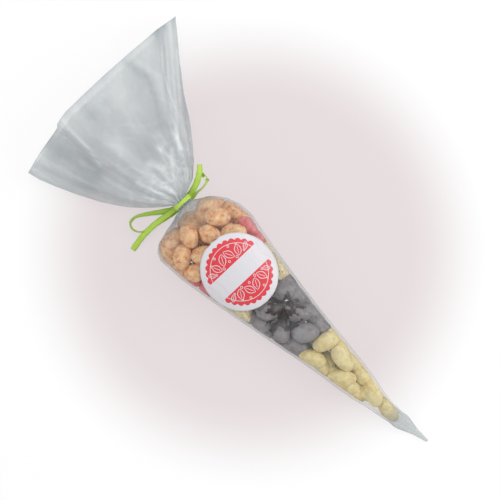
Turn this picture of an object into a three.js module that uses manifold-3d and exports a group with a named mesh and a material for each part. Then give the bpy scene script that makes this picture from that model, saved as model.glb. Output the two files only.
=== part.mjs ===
// A gift cone: a clear film cone bag filled with five kinds of coated nuts in layers, gathered above
// them and tied with a flat ribbon in a bow, with a round paper label on its upper side.
// It lies on its back, as on a table. Millimetres, +Z up: the tip points along +X, the mouth along -X,
// and the origin is on the flat underside, half way along the bag.

import * as THREE from 'three';
import { mergeVertices } from 'three/addons/utils/BufferGeometryUtils.js';
import Module from 'manifold-3d';

const wasm = await Module();
wasm.setup();

// Film cone bag, as it lies filled and tied
const BODY_LENGTH = 259; // tip to tie
const BODY_WIDTH = 78; // at the shoulder
const BODY_HEIGHT = 47; // at the shoulder
const FLARE_LENGTH = 105; // tie to mouth
const MOUTH_WIDTH = 162;
const MOUTH_HEIGHT = 38;
const FILM_WALL = 0.5;
const SEAM_HEIGHT = 0.45; // height of the side welds, as a share of the height there
const TIP_LIFT = 2; // the empty tip stands this far off the table
const LABEL_FROM_TIP = 195;
const ORIGIN_FROM_TIP = 185;

// Gathered neck under the ribbon
const NECK_WIDTH = 11.5;
const NECK_HEIGHT = 10;
const NECK_LENGTH = 6.5;
const NECK_ABOVE_TABLE = 21; // centre of the neck
const NECK_SIDE = 2.5; // the neck sits this far to the +Y side
const PLEATS = 12;
const POINTS_PER_PLEAT = 4;
const PLEAT_DEPTH = 0.9; // at the neck
const BODY_PLEAT_DEPTH = 0.35; // where the gathers run out on the shoulder
const MOUTH_PLEAT_DEPTH = 0.8;

// Fold in the upper sheet of the mouth
const FOLD_ANGLE = 2.02; // round the section from the +Y weld, in radians
const FOLD_SPREAD = 0.17;
const FOLD_OVERLAP = 24; // how far the fold pulls the sheet sideways
const FOLD_DROP = 6; // the lower layer of the fold lies this far under the upper one
const RIM_SLANT = 10; // the mouth's edge falls back this far at the -Y corner

// Label
const LABEL_DIAMETER = 60;
const LABEL_THICKNESS = 0.4;
const LABEL_SIDE = -2;
const FACET_ROOM = 0.15; // the film's facets stand this far over the curve that the label is laid on

// Ribbon
const RIBBON_WIDTH = 4.6;
const RIBBON_THICKNESS = 0.6;
const KNOT_LENGTH = 7.5;
const KNOT_WIDTH = 6;
const KNOT_DEPTH = 4.5;

// Clearances between separate pieces
const SEAT_GAP = 0.3;
const NUT_GAP = 0.4;

const AROUND = PLEATS * POINTS_PER_PLEAT;
const FLARE_FROM_TIP = BODY_LENGTH + NECK_LENGTH;

const xAt = (fromTip) => ORIGIN_FROM_TIP - fromTip;

// Shape of the filled body: station along it, then the middle line's side shift and the half width as
// shares of the body's width, then the underside's and the top's height as shares of its height
const BODY_SHAPE = [
  [0, 0.179, 0.01, 0, 0.02],
  [0.05, 0.151, 0.036, 0, 0.036],
  [0.1, 0.122, 0.088, 0, 0.15],
  [0.139, 0.104, 0.116, 0, 0.37],
  [0.16, 0.092, 0.122, 0, 0.41],
  [0.2, 0.085, 0.142, 0, 0.44],
  [0.25, 0.075, 0.18, 0, 0.5],
  [0.31, 0.067, 0.213, 0, 0.57],
  [0.386, 0.056, 0.244, 0, 0.63],
  [0.486, 0.029, 0.29, 0, 0.7],
  [0.618, 0.003, 0.363, 0, 0.82],
  [0.772, -0.019, 0.449, 0, 0.93],
  [0.86, -0.023, 0.497, 0, 1],
  [0.915, -0.046, 0.49, 0, 0.99],
  [0.946, -0.073, 0.458, 0.008, 0.95],
  [0.967, -0.077, 0.4, 0.045, 0.89],
  [0.984, -0.07, 0.32, 0.12, 0.8],
  [0.994, -0.03, 0.2, 0.21, 0.67],
];

// Shape of the open flare above the tie, in shares of the mouth's width and height
const FLARE_SHAPE = [
  [0.045, 0.03, 0.088, 0.23, 0.82],
  [0.12, 0.028, 0.145, 0.1, 0.9],
  [0.24, 0.024, 0.212, 0.02, 0.9],
  [0.4, 0.024, 0.283, 0, 0.92],
  [0.56, 0.03, 0.343, 0, 0.96],
  [0.74, 0.045, 0.41, 0, 1],
  [0.88, 0.065, 0.462, 0, 1],
  [1, 0.086, 0.5, 0, 0.98],
];

const BODY_STATIONS = [
  0, 0.05, 0.1, 0.139, 0.16, 0.2, 0.25, 0.31, 0.37, 0.44, 0.51, 0.58, 0.65, 0.72, 0.79, 0.85, 0.9,
  0.935, 0.96, 0.98, 0.992,
];
const FIRST_HOLLOW_STATION = 2; // nearer the tip the two sheets lie on each other
const EMPTY_TIP_ENDS = 0.16; // nearer the tip the bag is empty, flat and off the table
const SHOULDER_STARTS = 0.915; // nearer the tie the underside curls up off the table
const UNDERSIDE_FULLNESS = 1.25; // pressed flat on the table, the underside is fuller than an oval
const NECK_STEPS = [0, 1];

// A smooth curve through one column of a shape table, without overshoot
function columnOf(rows, column) {
  const value = (i) => rows[i][column];
  const slope = (i) => (value(i + 1) - value(i)) / (rows[i + 1][0] - rows[i][0]);
  const tangent = (i) => {
    if (i === 0) return slope(0);
    if (i === rows.length - 1) return slope(i - 1);
    const before = slope(i - 1);
    const after = slope(i);
    return before * after <= 0 ? 0 : (2 * before * after) / (before + after);
  };
  return (station) => {
    const at = THREE.MathUtils.clamp(station, rows[0][0], rows[rows.length - 1][0]);
    let i = 0;
    while (i < rows.length - 2 && at > rows[i + 1][0]) i += 1;
    const span = rows[i + 1][0] - rows[i][0];
    const s = (at - rows[i][0]) / span;
    return (
      value(i) * (1 + 2 * s) * (1 - s) ** 2 +
      tangent(i) * span * s * (1 - s) ** 2 +
      value(i + 1) * s * s * (3 - 2 * s) +
      tangent(i + 1) * span * s * s * (s - 1)
    );
  };
}

const bodyColumns = [1, 2, 3, 4].map((column) => columnOf([...BODY_SHAPE, neckRow()], column));
const flareColumns = [1, 2, 3, 4].map((column) => columnOf(FLARE_SHAPE, column));

// The neck's own section, as the last row of the body's shape
function neckRow() {
  return [
    1,
    NECK_SIDE / BODY_WIDTH,
    NECK_WIDTH / 2 / BODY_WIDTH,
    (NECK_ABOVE_TABLE - NECK_HEIGHT / 2) / BODY_HEIGHT,
    (NECK_ABOVE_TABLE + NECK_HEIGHT / 2) / BODY_HEIGHT,
  ];
}

// Middle, half width, underside, top and weld height of the body's outside, a distance from the tip
function bodyFrame(fromTip) {
  const station = THREE.MathUtils.clamp(fromTip / BODY_LENGTH, 0, 1);
  const [middle, half, low, high] = bodyColumns.map((column) => column(station));
  const emptiness = Math.max(0, 1 - station / EMPTY_TIP_ENDS);
  const lift = TIP_LIFT * emptiness;
  const pressed = station < SHOULDER_STARTS ? 1 : Math.max(0, (1 - station) * 12);
  const bottom = low * BODY_HEIGHT + lift;
  const top = high * BODY_HEIGHT + lift;
  return {
    middle: middle * BODY_WIDTH,
    half: half * BODY_WIDTH,
    bottom,
    top,
    seam: bottom + SEAM_HEIGHT * (top - bottom),
    flat: 1 + (UNDERSIDE_FULLNESS - 1) * pressed,
    power: 1 + 0.5 * emptiness,
  };
}

function flareFrame(share) {
  const [middle, half, low, high] = flareColumns.map((column) => column(share));
  const bottom = low * MOUTH_HEIGHT;
  const top = high * MOUTH_HEIGHT;
  return {
    middle: middle * MOUTH_WIDTH,
    half: half * MOUTH_WIDTH,
    bottom,
    top,
    seam: bottom + (SEAM_HEIGHT - 0.2 * share) * (top - bottom),
    flat: 1 + 0.3 * share,
    power: 1 + 0.5 * share,
  };
}

// Angles round a section, closer together where the fold is
function sectionAngles() {
  const steps = 1440;
  const density = (angle) => 1 + 2.2 * Math.exp(-(((angle - FOLD_ANGLE) / (2 * FOLD_SPREAD)) ** 2));
  const total = [0];
  for (let i = 0; i < steps; i += 1) total.push(total[i] + density((2 * Math.PI * (i + 0.5)) / steps));
  const angles = [];
  for (let i = 0, j = 0; i < AROUND; i += 1) {
    const wanted = (total[steps] * i) / AROUND;
    while (total[j + 1] < wanted) j += 1;
    angles.push((2 * Math.PI * (j + (wanted - total[j]) / (total[j + 1] - total[j]))) / steps);
  }
  return angles;
}

const ANGLES = sectionAngles();

// One ring of the film's outside: an upper and a lower sheet that meet at the two side welds
function filmRing(frame, fromTip, pleatDepth, flareShare) {
  return ANGLES.map((angle, i) => {
    const across = Math.cos(angle);
    const up = Math.sin(angle);
    const rise = Math.abs(up) ** frame.power;
    let y = frame.middle + frame.half * across;
    let z = frame.seam + (frame.top - frame.seam) * rise;
    if (up < 0) z = Math.max(frame.bottom, frame.seam - (frame.seam - frame.bottom) * frame.flat * rise);
    const fold = (angle - FOLD_ANGLE) / FOLD_SPREAD;
    const pull = fold * Math.exp(-fold * fold * 0.5);
    y += FOLD_OVERLAP * flareShare * pull;
    if (up > 0) z -= FOLD_DROP * flareShare * rise * THREE.MathUtils.smoothstep(fold, -1, 1);
    const corner = THREE.MathUtils.clamp((-0.35 - across) / 0.65, 0, 1);
    const station = fromTip - RIM_SLANT * flareShare ** 2 * corner;
    const pleat = pleatDepth * Math.cos((2 * Math.PI * i) / POINTS_PER_PLEAT);
    const outward = new THREE.Vector2(across * (frame.top - frame.seam), up * frame.half).normalize();
    const onTable = up < 0 && z <= frame.bottom + 1e-6;
    if (!onTable) {
      y += pleat * outward.x;
      z += pleat * outward.y;
    }
    return new THREE.Vector3(xAt(station), y, Math.max(z, frame.bottom));
  });
}

// How deep the gathers are on the body: full at the neck, gone below the shoulder
function bodyPleat(station) {
  const near = THREE.MathUtils.smoothstep(station, 0.9, 0.985);
  return THREE.MathUtils.lerp(0, BODY_PLEAT_DEPTH, near) + (PLEAT_DEPTH - BODY_PLEAT_DEPTH) * near ** 12;
}

// All rings of the film's outside, from the tip to the mouth
function filmRings() {
  const rings = BODY_STATIONS.map((station) =>
    filmRing(bodyFrame(station * BODY_LENGTH), station * BODY_LENGTH, bodyPleat(station), 0),
  );
  for (const step of NECK_STEPS) {
    rings.push(filmRing(bodyFrame(BODY_LENGTH), BODY_LENGTH + step * NECK_LENGTH, PLEAT_DEPTH, 0));
  }
  for (const [share] of FLARE_SHAPE) {
    const depth = THREE.MathUtils.lerp(PLEAT_DEPTH * 1.4, MOUTH_PLEAT_DEPTH, share);
    rings.push(filmRing(flareFrame(share), FLARE_FROM_TIP + share * FLARE_LENGTH, depth, share));
  }
  return rings;
}

// The same rings moved inwards by a wall's thickness, each point along the surface's own normal
function movedInwards(rings, wall) {
  const count = rings[0].length;
  const faceNormal = (r, i) => {
    const a = rings[r][i];
    const b = rings[r + 1][i];
    const c = rings[r + 1][(i + 1) % count];
    const d = rings[r][(i + 1) % count];
    return new THREE.Vector3().subVectors(b, d).cross(new THREE.Vector3().subVectors(c, a)).normalize();
  };
  return rings.map((ring, r) =>
    ring.map((point, i) => {
      const before = (i + count - 1) % count;
      const faces = [];
      if (r > 0) faces.push(faceNormal(r - 1, i), faceNormal(r - 1, before));
      if (r < rings.length - 1) faces.push(faceNormal(r, i), faceNormal(r, before));
      const mean = faces.reduce((sum, n) => sum.add(n), new THREE.Vector3()).normalize();
      const steepest = Math.min(...faces.map((n) => Math.abs(n.dot(mean))));
      return point.clone().addScaledVector(mean, -wall / Math.max(steepest, 0.45));
    }),
  );
}

// A closed surface through rings of points, with a point that closes it at each end
function loft(rings, startPoint, endPoint) {
  const count = rings[0].length;
  const points = [startPoint, ...rings.flat(), endPoint];
  const at = (r, i) => 1 + r * count + (i % count);
  const last = points.length - 1;
  const faces = [];
  for (let i = 0; i < count; i += 1) {
    faces.push([0, at(0, i + 1), at(0, i)]);
    faces.push([last, at(rings.length - 1, i), at(rings.length - 1, i + 1)]);
    for (let r = 0; r < rings.length - 1; r += 1) {
      faces.push([at(r, i), at(r, i + 1), at(r + 1, i + 1)]);
      faces.push([at(r, i), at(r + 1, i + 1), at(r + 1, i)]);
    }
  }
  const volume = faces.reduce(
    (sum, [a, b, c]) => sum + points[a].dot(new THREE.Vector3().crossVectors(points[b], points[c])),
    0,
  );
  const order = volume > 0 ? faces : faces.map(([a, b, c]) => [a, c, b]);
  const geometry = new THREE.BufferGeometry();
  geometry.setAttribute(
    'position',
    new THREE.Float32BufferAttribute(points.flatMap((p) => [p.x, p.y, p.z]), 3),
  );
  geometry.setIndex(order.flat());
  geometry.computeVertexNormals();
  return geometry;
}

const meanOf = (points) =>
  points.reduce((sum, p) => sum.add(p), new THREE.Vector3()).divideScalar(points.length);

function filmGeometry() {
  const outside = filmRings();
  const inside = movedInwards(outside, FILM_WALL).slice(FIRST_HOLLOW_STATION).reverse();
  return loft([...outside, ...inside], meanOf(outside[0]), meanOf(inside[inside.length - 1]));
}

// Nuts: their sizes, and where they lie. A place is the station along the body, the place across it as a
// share of the half width there, the turn of the long axis from the bag's in degrees, and for some how
// much deeper than the film's underside they lie.
const NUTS = {
  yellow_nut: {
    length: 21.2,
    width: 14.3,
    dent: 0.04,
    colour: 0xe6dba6,
    roughness: 0.55,
    places: [
      [0.187, 0.02, -12],
      [0.262, -0.5, -6, 4],
      [0.268, 0.5, -25],
      [0.366, -0.45, 45],
      [0.345, 0.5, 25, 5],
      [0.386, 0.1, -8],
      [0.45, 0.34, 78],
      [0.402, -0.66, -20],
      [0.396, 0.76, 8],
      [0.446, -0.72, 30],
    ],
  },
  dark_nut: {
    length: 20.5,
    width: 15.6,
    dent: 0.1,
    colour: 0x3b2b2c,
    roughness: 0.45,
    places: [
      [0.6, 0.74, 20],
      [0.579, 0.22, 28],
      [0.538, 0.66, -10],
      [0.622, -0.46, 50],
      [0.566, -0.72, -30],
      [0.503, -0.5, 75],
      [0.497, 0.68, 15],
      [0.552, -0.22, -35],
      [0.513, 0.1, 40],
      [0.64, 0.3, 70],
    ],
    bed: { from: 0.5, to: 0.655 },
  },
  speckled_nut: {
    length: 17.6,
    width: 14.6,
    dent: 0.09,
    colour: 0xd9cda0,
    roughness: 0.6,
    places: [
      [0.757, 0.84, 10],
      [0.69, 0.78, -25],
      [0.64, 0.72, 80],
      [0.695, -0.82, -15],
      [0.749, -0.86, 5],
      [0.641, -0.84, 20],
      [0.71, 0.3, 35],
      [0.68, -0.1, -40],
      [0.715, -0.42, 60],
    ],
    bed: { from: 0.66, to: 0.77 },
  },
  pink_nut: {
    length: 17,
    width: 13.6,
    dent: 0.08,
    colour: 0xd4686c,
    roughness: 0.6,
    places: [
      [0.836, 0.84, 5],
      [0.79, 0.72, -10],
      [0.822, -0.84, 10],
      [0.785, -0.5, 30],
      [0.77, 0.1, 85],
      [0.79, -0.84, 10],
    ],
    bed: { from: 0.775, to: 0.845 },
  },
  brown_nut: {
    length: 18.6,
    width: 15,
    dent: 0.07,
    colour: 0xbd8a5c,
    roughness: 0.6,
    places: [
      [0.948, 0.3, 80],
      [0.925, 0.62, 60],
      [0.896, 0.56, 42],
      [0.85, 0.5, 48],
      [0.902, 0.17, 15],
      [0.905, -0.27, -25],
      [0.905, -0.6, -45],
      [0.869, -0.66, 75],
      [0.945, -0.3, 85],
      [0.91, 0.84, 35],
      [0.87, 0.88, -10],
      [0.862, -0.15, 60],
      [0.842, 0.12, -30],
      [0.955, 0.02, 85],
      [0.89, -0.9, 20],
    ],
    bed: { from: 0.855, to: 0.935 },
  },
};

// Beds: the nuts of each kind that lie under the visible ones, in rows, stuck to each other by their coats
const BED_PITCH = 0.75; // their spacing, as a share of their size
const BED_RISE = 0.72; // the height of one bed layer over the next, as a share of their width
const BED_LAYERS = 3; // at most
const ROOM_OVER_BED = 15.5; // height left for the nuts on top
const ROOM_BESIDE_BED = 7; // width left at each side for the nuts seen there

// A repeatable number from 0 to 1 for each whole number
const scatter = (n) => {
  const s = Math.sin(n * 12.9898 + 4.1414) * 43758.5453;
  return s - Math.floor(s);
};

// Balls inside a nut's oval, along its long axis, that stand for it while the nuts are packed
function ballsOf(nut) {
  const a = nut.length / 2;
  const b = nut.width / 2;
  const reach = a - (b * b) / a;
  return [-1, -0.5, 0, 0.5, 1].map((share) => {
    const s = share * reach;
    return { offset: s, radius: b * Math.sqrt(Math.max(0, 1 - (s * s) / (a * a - b * b))) };
  });
}

function placedNuts() {
  const placed = [];
  for (const [kind, nut] of Object.entries(NUTS)) {
    nut.places.forEach(([station, across, turn, depth = 0], i) => {
      const frame = bodyFrame(station * BODY_LENGTH);
      const angle = THREE.MathUtils.degToRad(turn);
      const z = frame.top - nut.width / 2 - (frame.top - frame.seam) * across ** 2 * 0.6 - depth;
      const home = new THREE.Vector3(xAt(station * BODY_LENGTH), frame.middle + frame.half * across, z);
      placed.push({
        kind,
        nut,
        home,
        at: home.clone(),
        name: `${kind}_${String(i + 1).padStart(2, '0')}`,
        seed: placed.length + 1,
        balls: ballsOf(nut),
        axis: new THREE.Vector3(Math.cos(angle), Math.sin(angle), 0),
      });
    });
  }
  return placed;
}

// The body's frame as the film's facets have it: straight from one station to the next
const FACET_FRAMES = [...BODY_STATIONS, 1].map((station) => bodyFrame(station * BODY_LENGTH));

function facetFrame(fromTip) {
  const station = THREE.MathUtils.clamp(fromTip / BODY_LENGTH, 0, 1);
  const stations = [...BODY_STATIONS, 1];
  let i = 0;
  while (i < stations.length - 2 && station > stations[i + 1]) i += 1;
  const share = (station - stations[i]) / (stations[i + 1] - stations[i]);
  const mixed = {};
  for (const [key, value] of Object.entries(FACET_FRAMES[i])) {
    mixed[key] = THREE.MathUtils.lerp(value, FACET_FRAMES[i + 1][key], share);
  }
  return mixed;
}

// How deep a point is inside the film's outside, as a share: 1 is on the film and 0 on the middle line
function fullness(x, y, z) {
  const fromTip = ORIGIN_FROM_TIP - x;
  const frame = facetFrame(fromTip);
  const height = z > frame.seam ? frame.top - frame.seam : (frame.seam - frame.bottom) * frame.flat;
  const side = (y - frame.middle) / frame.half;
  return Math.sqrt(side * side + ((z - frame.seam) / height) ** 2);
}

// Half the width left for the middle of a nut that lies at height z, over its own length
function halfRoom(nut, fromTip, z) {
  const ends = [fromTip - nut.length / 2, fromTip, fromTip + nut.length / 2].map(facetFrame);
  const rooms = ends.map((frame) => {
    const below = Math.min(1, Math.max(0, frame.seam - z) / ((frame.seam - frame.bottom) * frame.flat));
    return frame.half * Math.sqrt(1 - below * below);
  });
  return Math.min(...rooms) - nut.width / 2 - FILM_WALL - NUT_GAP - ROOM_BESIDE_BED;
}

// The nuts of one kind's bed, row by row and layer by layer
function bedNuts(kind) {
  const nut = NUTS[kind];
  const { from, to } = nut.bed;
  const span = (to - from) * BODY_LENGTH - nut.length;
  const rows = Math.max(1, Math.floor(span / (BED_PITCH * nut.length)) + 1);
  const out = [];
  for (let row = 0; row < rows; row += 1) {
    const mid = ((from + to) / 2) * BODY_LENGTH;
    const fromTip = mid + (row - (rows - 1) / 2) * BED_PITCH * nut.length;
    const frame = facetFrame(fromTip);
    for (let layer = 0; layer < BED_LAYERS; layer += 1) {
      const z = frame.bottom + FILM_WALL + NUT_GAP + nut.width * (0.5 + layer * BED_RISE);
      if (z + nut.width / 2 + ROOM_OVER_BED > frame.top) break;
      const room = halfRoom(nut, fromTip, z);
      if (room < 0) break;
      const count = Math.floor((2 * room) / (BED_PITCH * nut.width)) + 1;
      for (let i = 0; i < count; i += 1) {
        const y = frame.middle + (i - (count - 1) / 2) * BED_PITCH * nut.width;
        out.push({
          kind,
          nut,
          fixed: true,
          seed: 100 * (row + 1) + 10 * layer + i,
          balls: ballsOf(nut),
          axis: new THREE.Vector3(1, 0, 0),
          at: new THREE.Vector3(xAt(fromTip), y, z),
        });
      }
    }
  }
  return out;
}

// The long part of the body, between the tip and the shoulder
const LONG_PART = { from: 0.165, to: 0.87 };

// Directions in which a nut's ball is held against the film
const FEELERS = [];
for (const x of [-1, 0, 1]) {
  for (const y of [-1, 0, 1]) {
    for (const z of [-1, 0, 1]) {
      if (x || y || z) FEELERS.push(new THREE.Vector3(x, y, z).normalize());
    }
  }
}

// Moves a nut back inside the film where one of its balls reaches through it: straight along the film's
// slope on the long part, and away from the feeler that reaches farthest out at the two ends
function pushInside(nut, ball, centre) {
  const station = (ORIGIN_FROM_TIP - centre.x) / BODY_LENGTH;
  const keep = ball.radius + FILM_WALL + NUT_GAP + 2 * bodyPleat(station);
  if (station > LONG_PART.from && station < LONG_PART.to) {
    const step = 0.05;
    const here = fullness(centre.x, centre.y, centre.z);
    const slope = new THREE.Vector3(
      fullness(centre.x + step, centre.y, centre.z) - here,
      fullness(centre.x, centre.y + step, centre.z) - here,
      fullness(centre.x, centre.y, centre.z + step) - here,
    ).divideScalar(step);
    const steep = Math.max(slope.length(), 1e-6);
    const room = (1 - here) / steep;
    if (room < keep) nut.at.addScaledVector(slope, -(0.6 * (keep - room)) / steep);
  } else {
    const farthest = { share: 1, feeler: null };
    for (const feeler of FEELERS) {
      const share = fullness(
        centre.x + feeler.x * keep,
        centre.y + feeler.y * keep,
        centre.z + feeler.z * keep,
      );
      if (share > farthest.share) {
        farthest.share = share;
        farthest.feeler = feeler;
      }
    }
    if (farthest.feeler) {
      nut.at.addScaledVector(farthest.feeler, -Math.min(1.2, 14 * (farthest.share - 1)));
    }
  }
  const sunk = facetFrame(ORIGIN_FROM_TIP - centre.x).bottom + FILM_WALL + NUT_GAP + ball.radius - centre.z;
  if (sunk > 0) nut.at.z += sunk;
}

// Moves two nuts apart where their balls come closer than the gap between nuts
function pushApart(first, second) {
  if (first.at.distanceTo(second.at) > (first.nut.length + second.nut.length) / 2 + NUT_GAP) return;
  let deepest = 0;
  let push = null;
  for (const p of first.balls) {
    const a = first.at.clone().addScaledVector(first.axis, p.offset);
    for (const q of second.balls) {
      const b = second.at.clone().addScaledVector(second.axis, q.offset);
      const depth = p.radius + q.radius + NUT_GAP - a.distanceTo(b);
      if (depth > deepest) {
        deepest = depth;
        push = b.sub(a).normalize();
      }
    }
  }
  if (!push) return;
  const shareOfFirst = second.fixed ? 1 : 0.5;
  first.at.addScaledVector(push, -deepest * shareOfFirst);
  if (!second.fixed) second.at.addScaledVector(push, deepest * 0.5);
}

// Packs the nuts over the beds: they stay near their places and press up against the film
function packNuts(beds) {
  const placed = placedNuts();
  const rounds = 700;
  const freeRounds = 300; // the last rounds only clear what still overlaps
  const rise = 0.06;
  const pullHome = 0.03;
  for (let round = 0; round < rounds; round += 1) {
    if (round < rounds - freeRounds) {
      for (const nut of placed) {
        nut.at.z += rise;
        nut.at.lerp(nut.home, pullHome);
      }
    }
    placed.forEach((nut, i) => {
      for (const other of placed.slice(i + 1)) pushApart(nut, other);
      for (const other of beds) pushApart(nut, other);
    });
    for (const nut of placed) {
      for (const ball of nut.balls) {
        pushInside(nut, ball, nut.at.clone().addScaledVector(nut.axis, ball.offset));
      }
    }
  }
  return placed;
}

// One nut: an oval with one end slimmer and shallow dents, never larger than its oval. A bed's nuts,
// which can't be seen, have fewer facets.
function nutGeometry({ nut, seed, fixed }) {
  const geometry = fixed ? new THREE.SphereGeometry(1, 8, 5) : new THREE.SphereGeometry(1, 10, 6);
  geometry.rotateZ(-Math.PI / 2);
  geometry.deleteAttribute('normal');
  geometry.deleteAttribute('uv');
  const closed = mergeVertices(geometry, 1e-4);
  const position = closed.attributes.position;
  const turn = scatter(seed) * 2 * Math.PI;
  for (let i = 0; i < position.count; i += 1) {
    const p = new THREE.Vector3().fromBufferAttribute(position, i);
    const wave = Math.sin(3.1 * p.x + turn) * Math.sin(2.3 * p.y + 2 * turn) * Math.cos(2.7 * p.z + turn);
    const size = 1 - nut.dent * (0.5 + 0.5 * wave);
    const slim = 1 - 0.06 * (1 + p.x);
    position.setXYZ(
      i,
      (p.x * size * nut.length) / 2,
      (p.y * size * slim * nut.width) / 2,
      (p.z * size * slim * nut.width) / 2,
    );
  }
  closed.computeVertexNormals();
  return closed;
}

// Height of the film's upper outside at a place on the body
function filmTop(fromTip, y) {
  const frame = facetFrame(fromTip);
  const side = THREE.MathUtils.clamp((y - frame.middle) / frame.half, -1, 1);
  return frame.seam + (frame.top - frame.seam) * Math.sqrt(1 - side * side) ** frame.power;
}

// A point of the label's disc laid on the film: along runs with the bag, round is measured over the curve
function onFilm(along, round, height) {
  const fromTip = LABEL_FROM_TIP + along;
  const steps = 40;
  let y = LABEL_SIDE;
  let z = filmTop(fromTip, y);
  for (let i = 0; i < steps; i += 1) {
    const step = 0.05 * Math.sign(round);
    const slope = round === 0 ? 0 : (filmTop(fromTip, y + step) - z) / step;
    y += round / steps / Math.hypot(1, slope);
    z = filmTop(fromTip, y);
  }
  const reach = 0.5;
  const overX = (filmTop(fromTip - reach, y) - filmTop(fromTip + reach, y)) / (2 * reach);
  const overY = (filmTop(fromTip, y + reach) - filmTop(fromTip, y - reach)) / (2 * reach);
  const normal = new THREE.Vector3(-overX, -overY, 1).normalize();
  return new THREE.Vector3(xAt(fromTip), y, z).addScaledVector(normal, height);
}

function labelGeometry() {
  const sides = 28;
  const under = SEAT_GAP + FACET_ROOM;
  const over = under + LABEL_THICKNESS;
  const ring = (share, height) =>
    Array.from({ length: sides }, (_, i) => {
      const angle = (2 * Math.PI * i) / sides;
      const radius = (share * LABEL_DIAMETER) / 2;
      return onFilm(radius * Math.cos(angle), radius * Math.sin(angle), height);
    });
  const shares = [0.25, 0.5, 0.75, 1];
  const rings = [...shares.map((s) => ring(s, over)), ...shares.reverse().map((s) => ring(s, under))];
  return loft(rings, onFilm(0, 0, over), onFilm(0, 0, under));
}

// Ribbon routes from the knot under the neck: distance from the tie, sideways and up from the neck's
// middle, and the way the ribbon's flat side faces there
const RIBBON_ROUTES = {
  left_loop: [
    [0, -1, -8, [0, 0, 1]],
    [-1, -8, -10, [0.2, 0, 1]],
    [-6, -16, -12, [0.5, -0.2, 1]],
    [-13, -26, -14, [0.8, -0.4, 0.8]],
    [-17.5, -34, -16, [1, 0.3, 0.5]],
    [-17, -40, -16.5, [0.4, 1, 0.3]],
    [-12, -42, -16.5, [-0.2, 1, 0.3]],
    [-6.5, -39, -16, [-0.8, 0.7, 0.3]],
    [-3.5, -32, -15, [-0.9, 0.2, 0.6]],
    [-1.5, -20, -13.5, [-0.6, 0.1, 0.9]],
    [0.2, -9, -11, [-0.2, 0, 1]],
    [0.5, -1, -9, [0, 0, 1]],
  ],
  left_tail: [
    [-0.5, -1, -8, [0, 0, 1]],
    [-0.8, -8, -8.6, [0, 0, 1]],
    [-2, -18, -9.6, [-0.1, 0, 1]],
    [-3.2, -30, -12, [-0.1, 0.2, 1]],
    [-2.8, -42, -16, [0.1, 0.25, 1]],
    [-0.8, -53, -19, [0.15, 0.2, 1]],
  ],
  right_loop: [
    [0.2, 1, -8, [0, 0, 1]],
    [1.2, 7, -7, [0.5, 0, 1]],
    [1.6, 13, -5, [1, 0, 0.4]],
    [1.8, 20, -3.5, [1, -0.1, 0.2]],
    [-0.2, 25.5, -3, [0.6, -0.8, 0.1]],
    [-4, 26, -3, [-0.5, -0.9, 0.1]],
    [-6, 22, -3.6, [-1, 0, 0.2]],
    [-4, 15, -5, [-1, 0.2, 0.4]],
    [-1.5, 8, -7, [-0.6, 0, 1]],
    [-0.2, 1, -8.5, [0, 0, 1]],
  ],
  right_tail: [
    [-0.3, 1, -7.6, [0, 0, 1]],
    [-0.8, 7, -5.6, [0, -0.2, 1]],
    [-2, 13, -3, [0.1, -0.2, 1]],
    [-4.5, 19.5, -0.6, [0.4, -0.2, 1]],
    [-8, 25, 1, [0.8, -0.3, 0.7]],
    [-12, 29, 2, [1, -0.4, 0.3]],
  ],
};

const TIE_FROM_TIP = BODY_LENGTH + NECK_LENGTH / 2;

const fromTie = ([back, side, up]) =>
  new THREE.Vector3(xAt(TIE_FROM_TIP - back), NECK_SIDE + side, NECK_ABOVE_TABLE + up);

// A flat strip along a route, its flat side turned as the route says
function stripGeometry(route) {
  const line = new THREE.CatmullRomCurve3(route.map(fromTie), false, 'centripetal');
  const faces = new THREE.CatmullRomCurve3(route.map((stop) => new THREE.Vector3(...stop[3])));
  const steps = 2 * route.length + 4;
  const rings = [];
  for (let i = 0; i <= steps; i += 1) {
    const t = i / steps;
    const centre = line.getPoint(t);
    const along = line.getTangent(t);
    const across = faces.getPoint(t).cross(along).normalize();
    const face = new THREE.Vector3().crossVectors(along, across);
    const corner = (w, h) =>
      centre
        .clone()
        .addScaledVector(across, (w * RIBBON_WIDTH) / 2)
        .addScaledVector(face, (h * RIBBON_THICKNESS) / 2);
    rings.push([corner(1, 1), corner(-1, 1), corner(-1, -1), corner(1, -1)]);
  }
  return loft(rings, meanOf(rings[0]), meanOf(rings[steps]));
}

// The turn of ribbon round the neck, close outside the gathers' crests
function bandGeometry() {
  const innerY = NECK_WIDTH / 2 + PLEAT_DEPTH + SEAT_GAP;
  const innerZ = NECK_HEIGHT / 2 + PLEAT_DEPTH + SEAT_GAP;
  const outline = new THREE.Shape();
  outline.absellipse(0, 0, innerY + RIBBON_THICKNESS, innerZ + RIBBON_THICKNESS, 0, 2 * Math.PI);
  const hole = new THREE.Path();
  hole.absellipse(0, 0, innerY, innerZ, 0, 2 * Math.PI);
  outline.holes.push(hole);
  const geometry = new THREE.ExtrudeGeometry(outline, {
    depth: RIBBON_WIDTH,
    bevelEnabled: false,
    curveSegments: 24,
  });
  geometry.translate(0, 0, -RIBBON_WIDTH / 2);
  geometry.rotateX(Math.PI / 2);
  geometry.rotateZ(Math.PI / 2);
  geometry.translate(xAt(TIE_FROM_TIP), NECK_SIDE, NECK_ABOVE_TABLE);
  return geometry;
}

function knotGeometry() {
  const geometry = new THREE.SphereGeometry(1, 12, 8);
  geometry.scale(KNOT_WIDTH / 2, KNOT_LENGTH / 2, KNOT_DEPTH / 2);
  const underBand = NECK_HEIGHT / 2 + PLEAT_DEPTH + SEAT_GAP + KNOT_DEPTH / 2;
  geometry.translate(xAt(TIE_FROM_TIP), NECK_SIDE, NECK_ABOVE_TABLE - underBand);
  return geometry;
}

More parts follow.
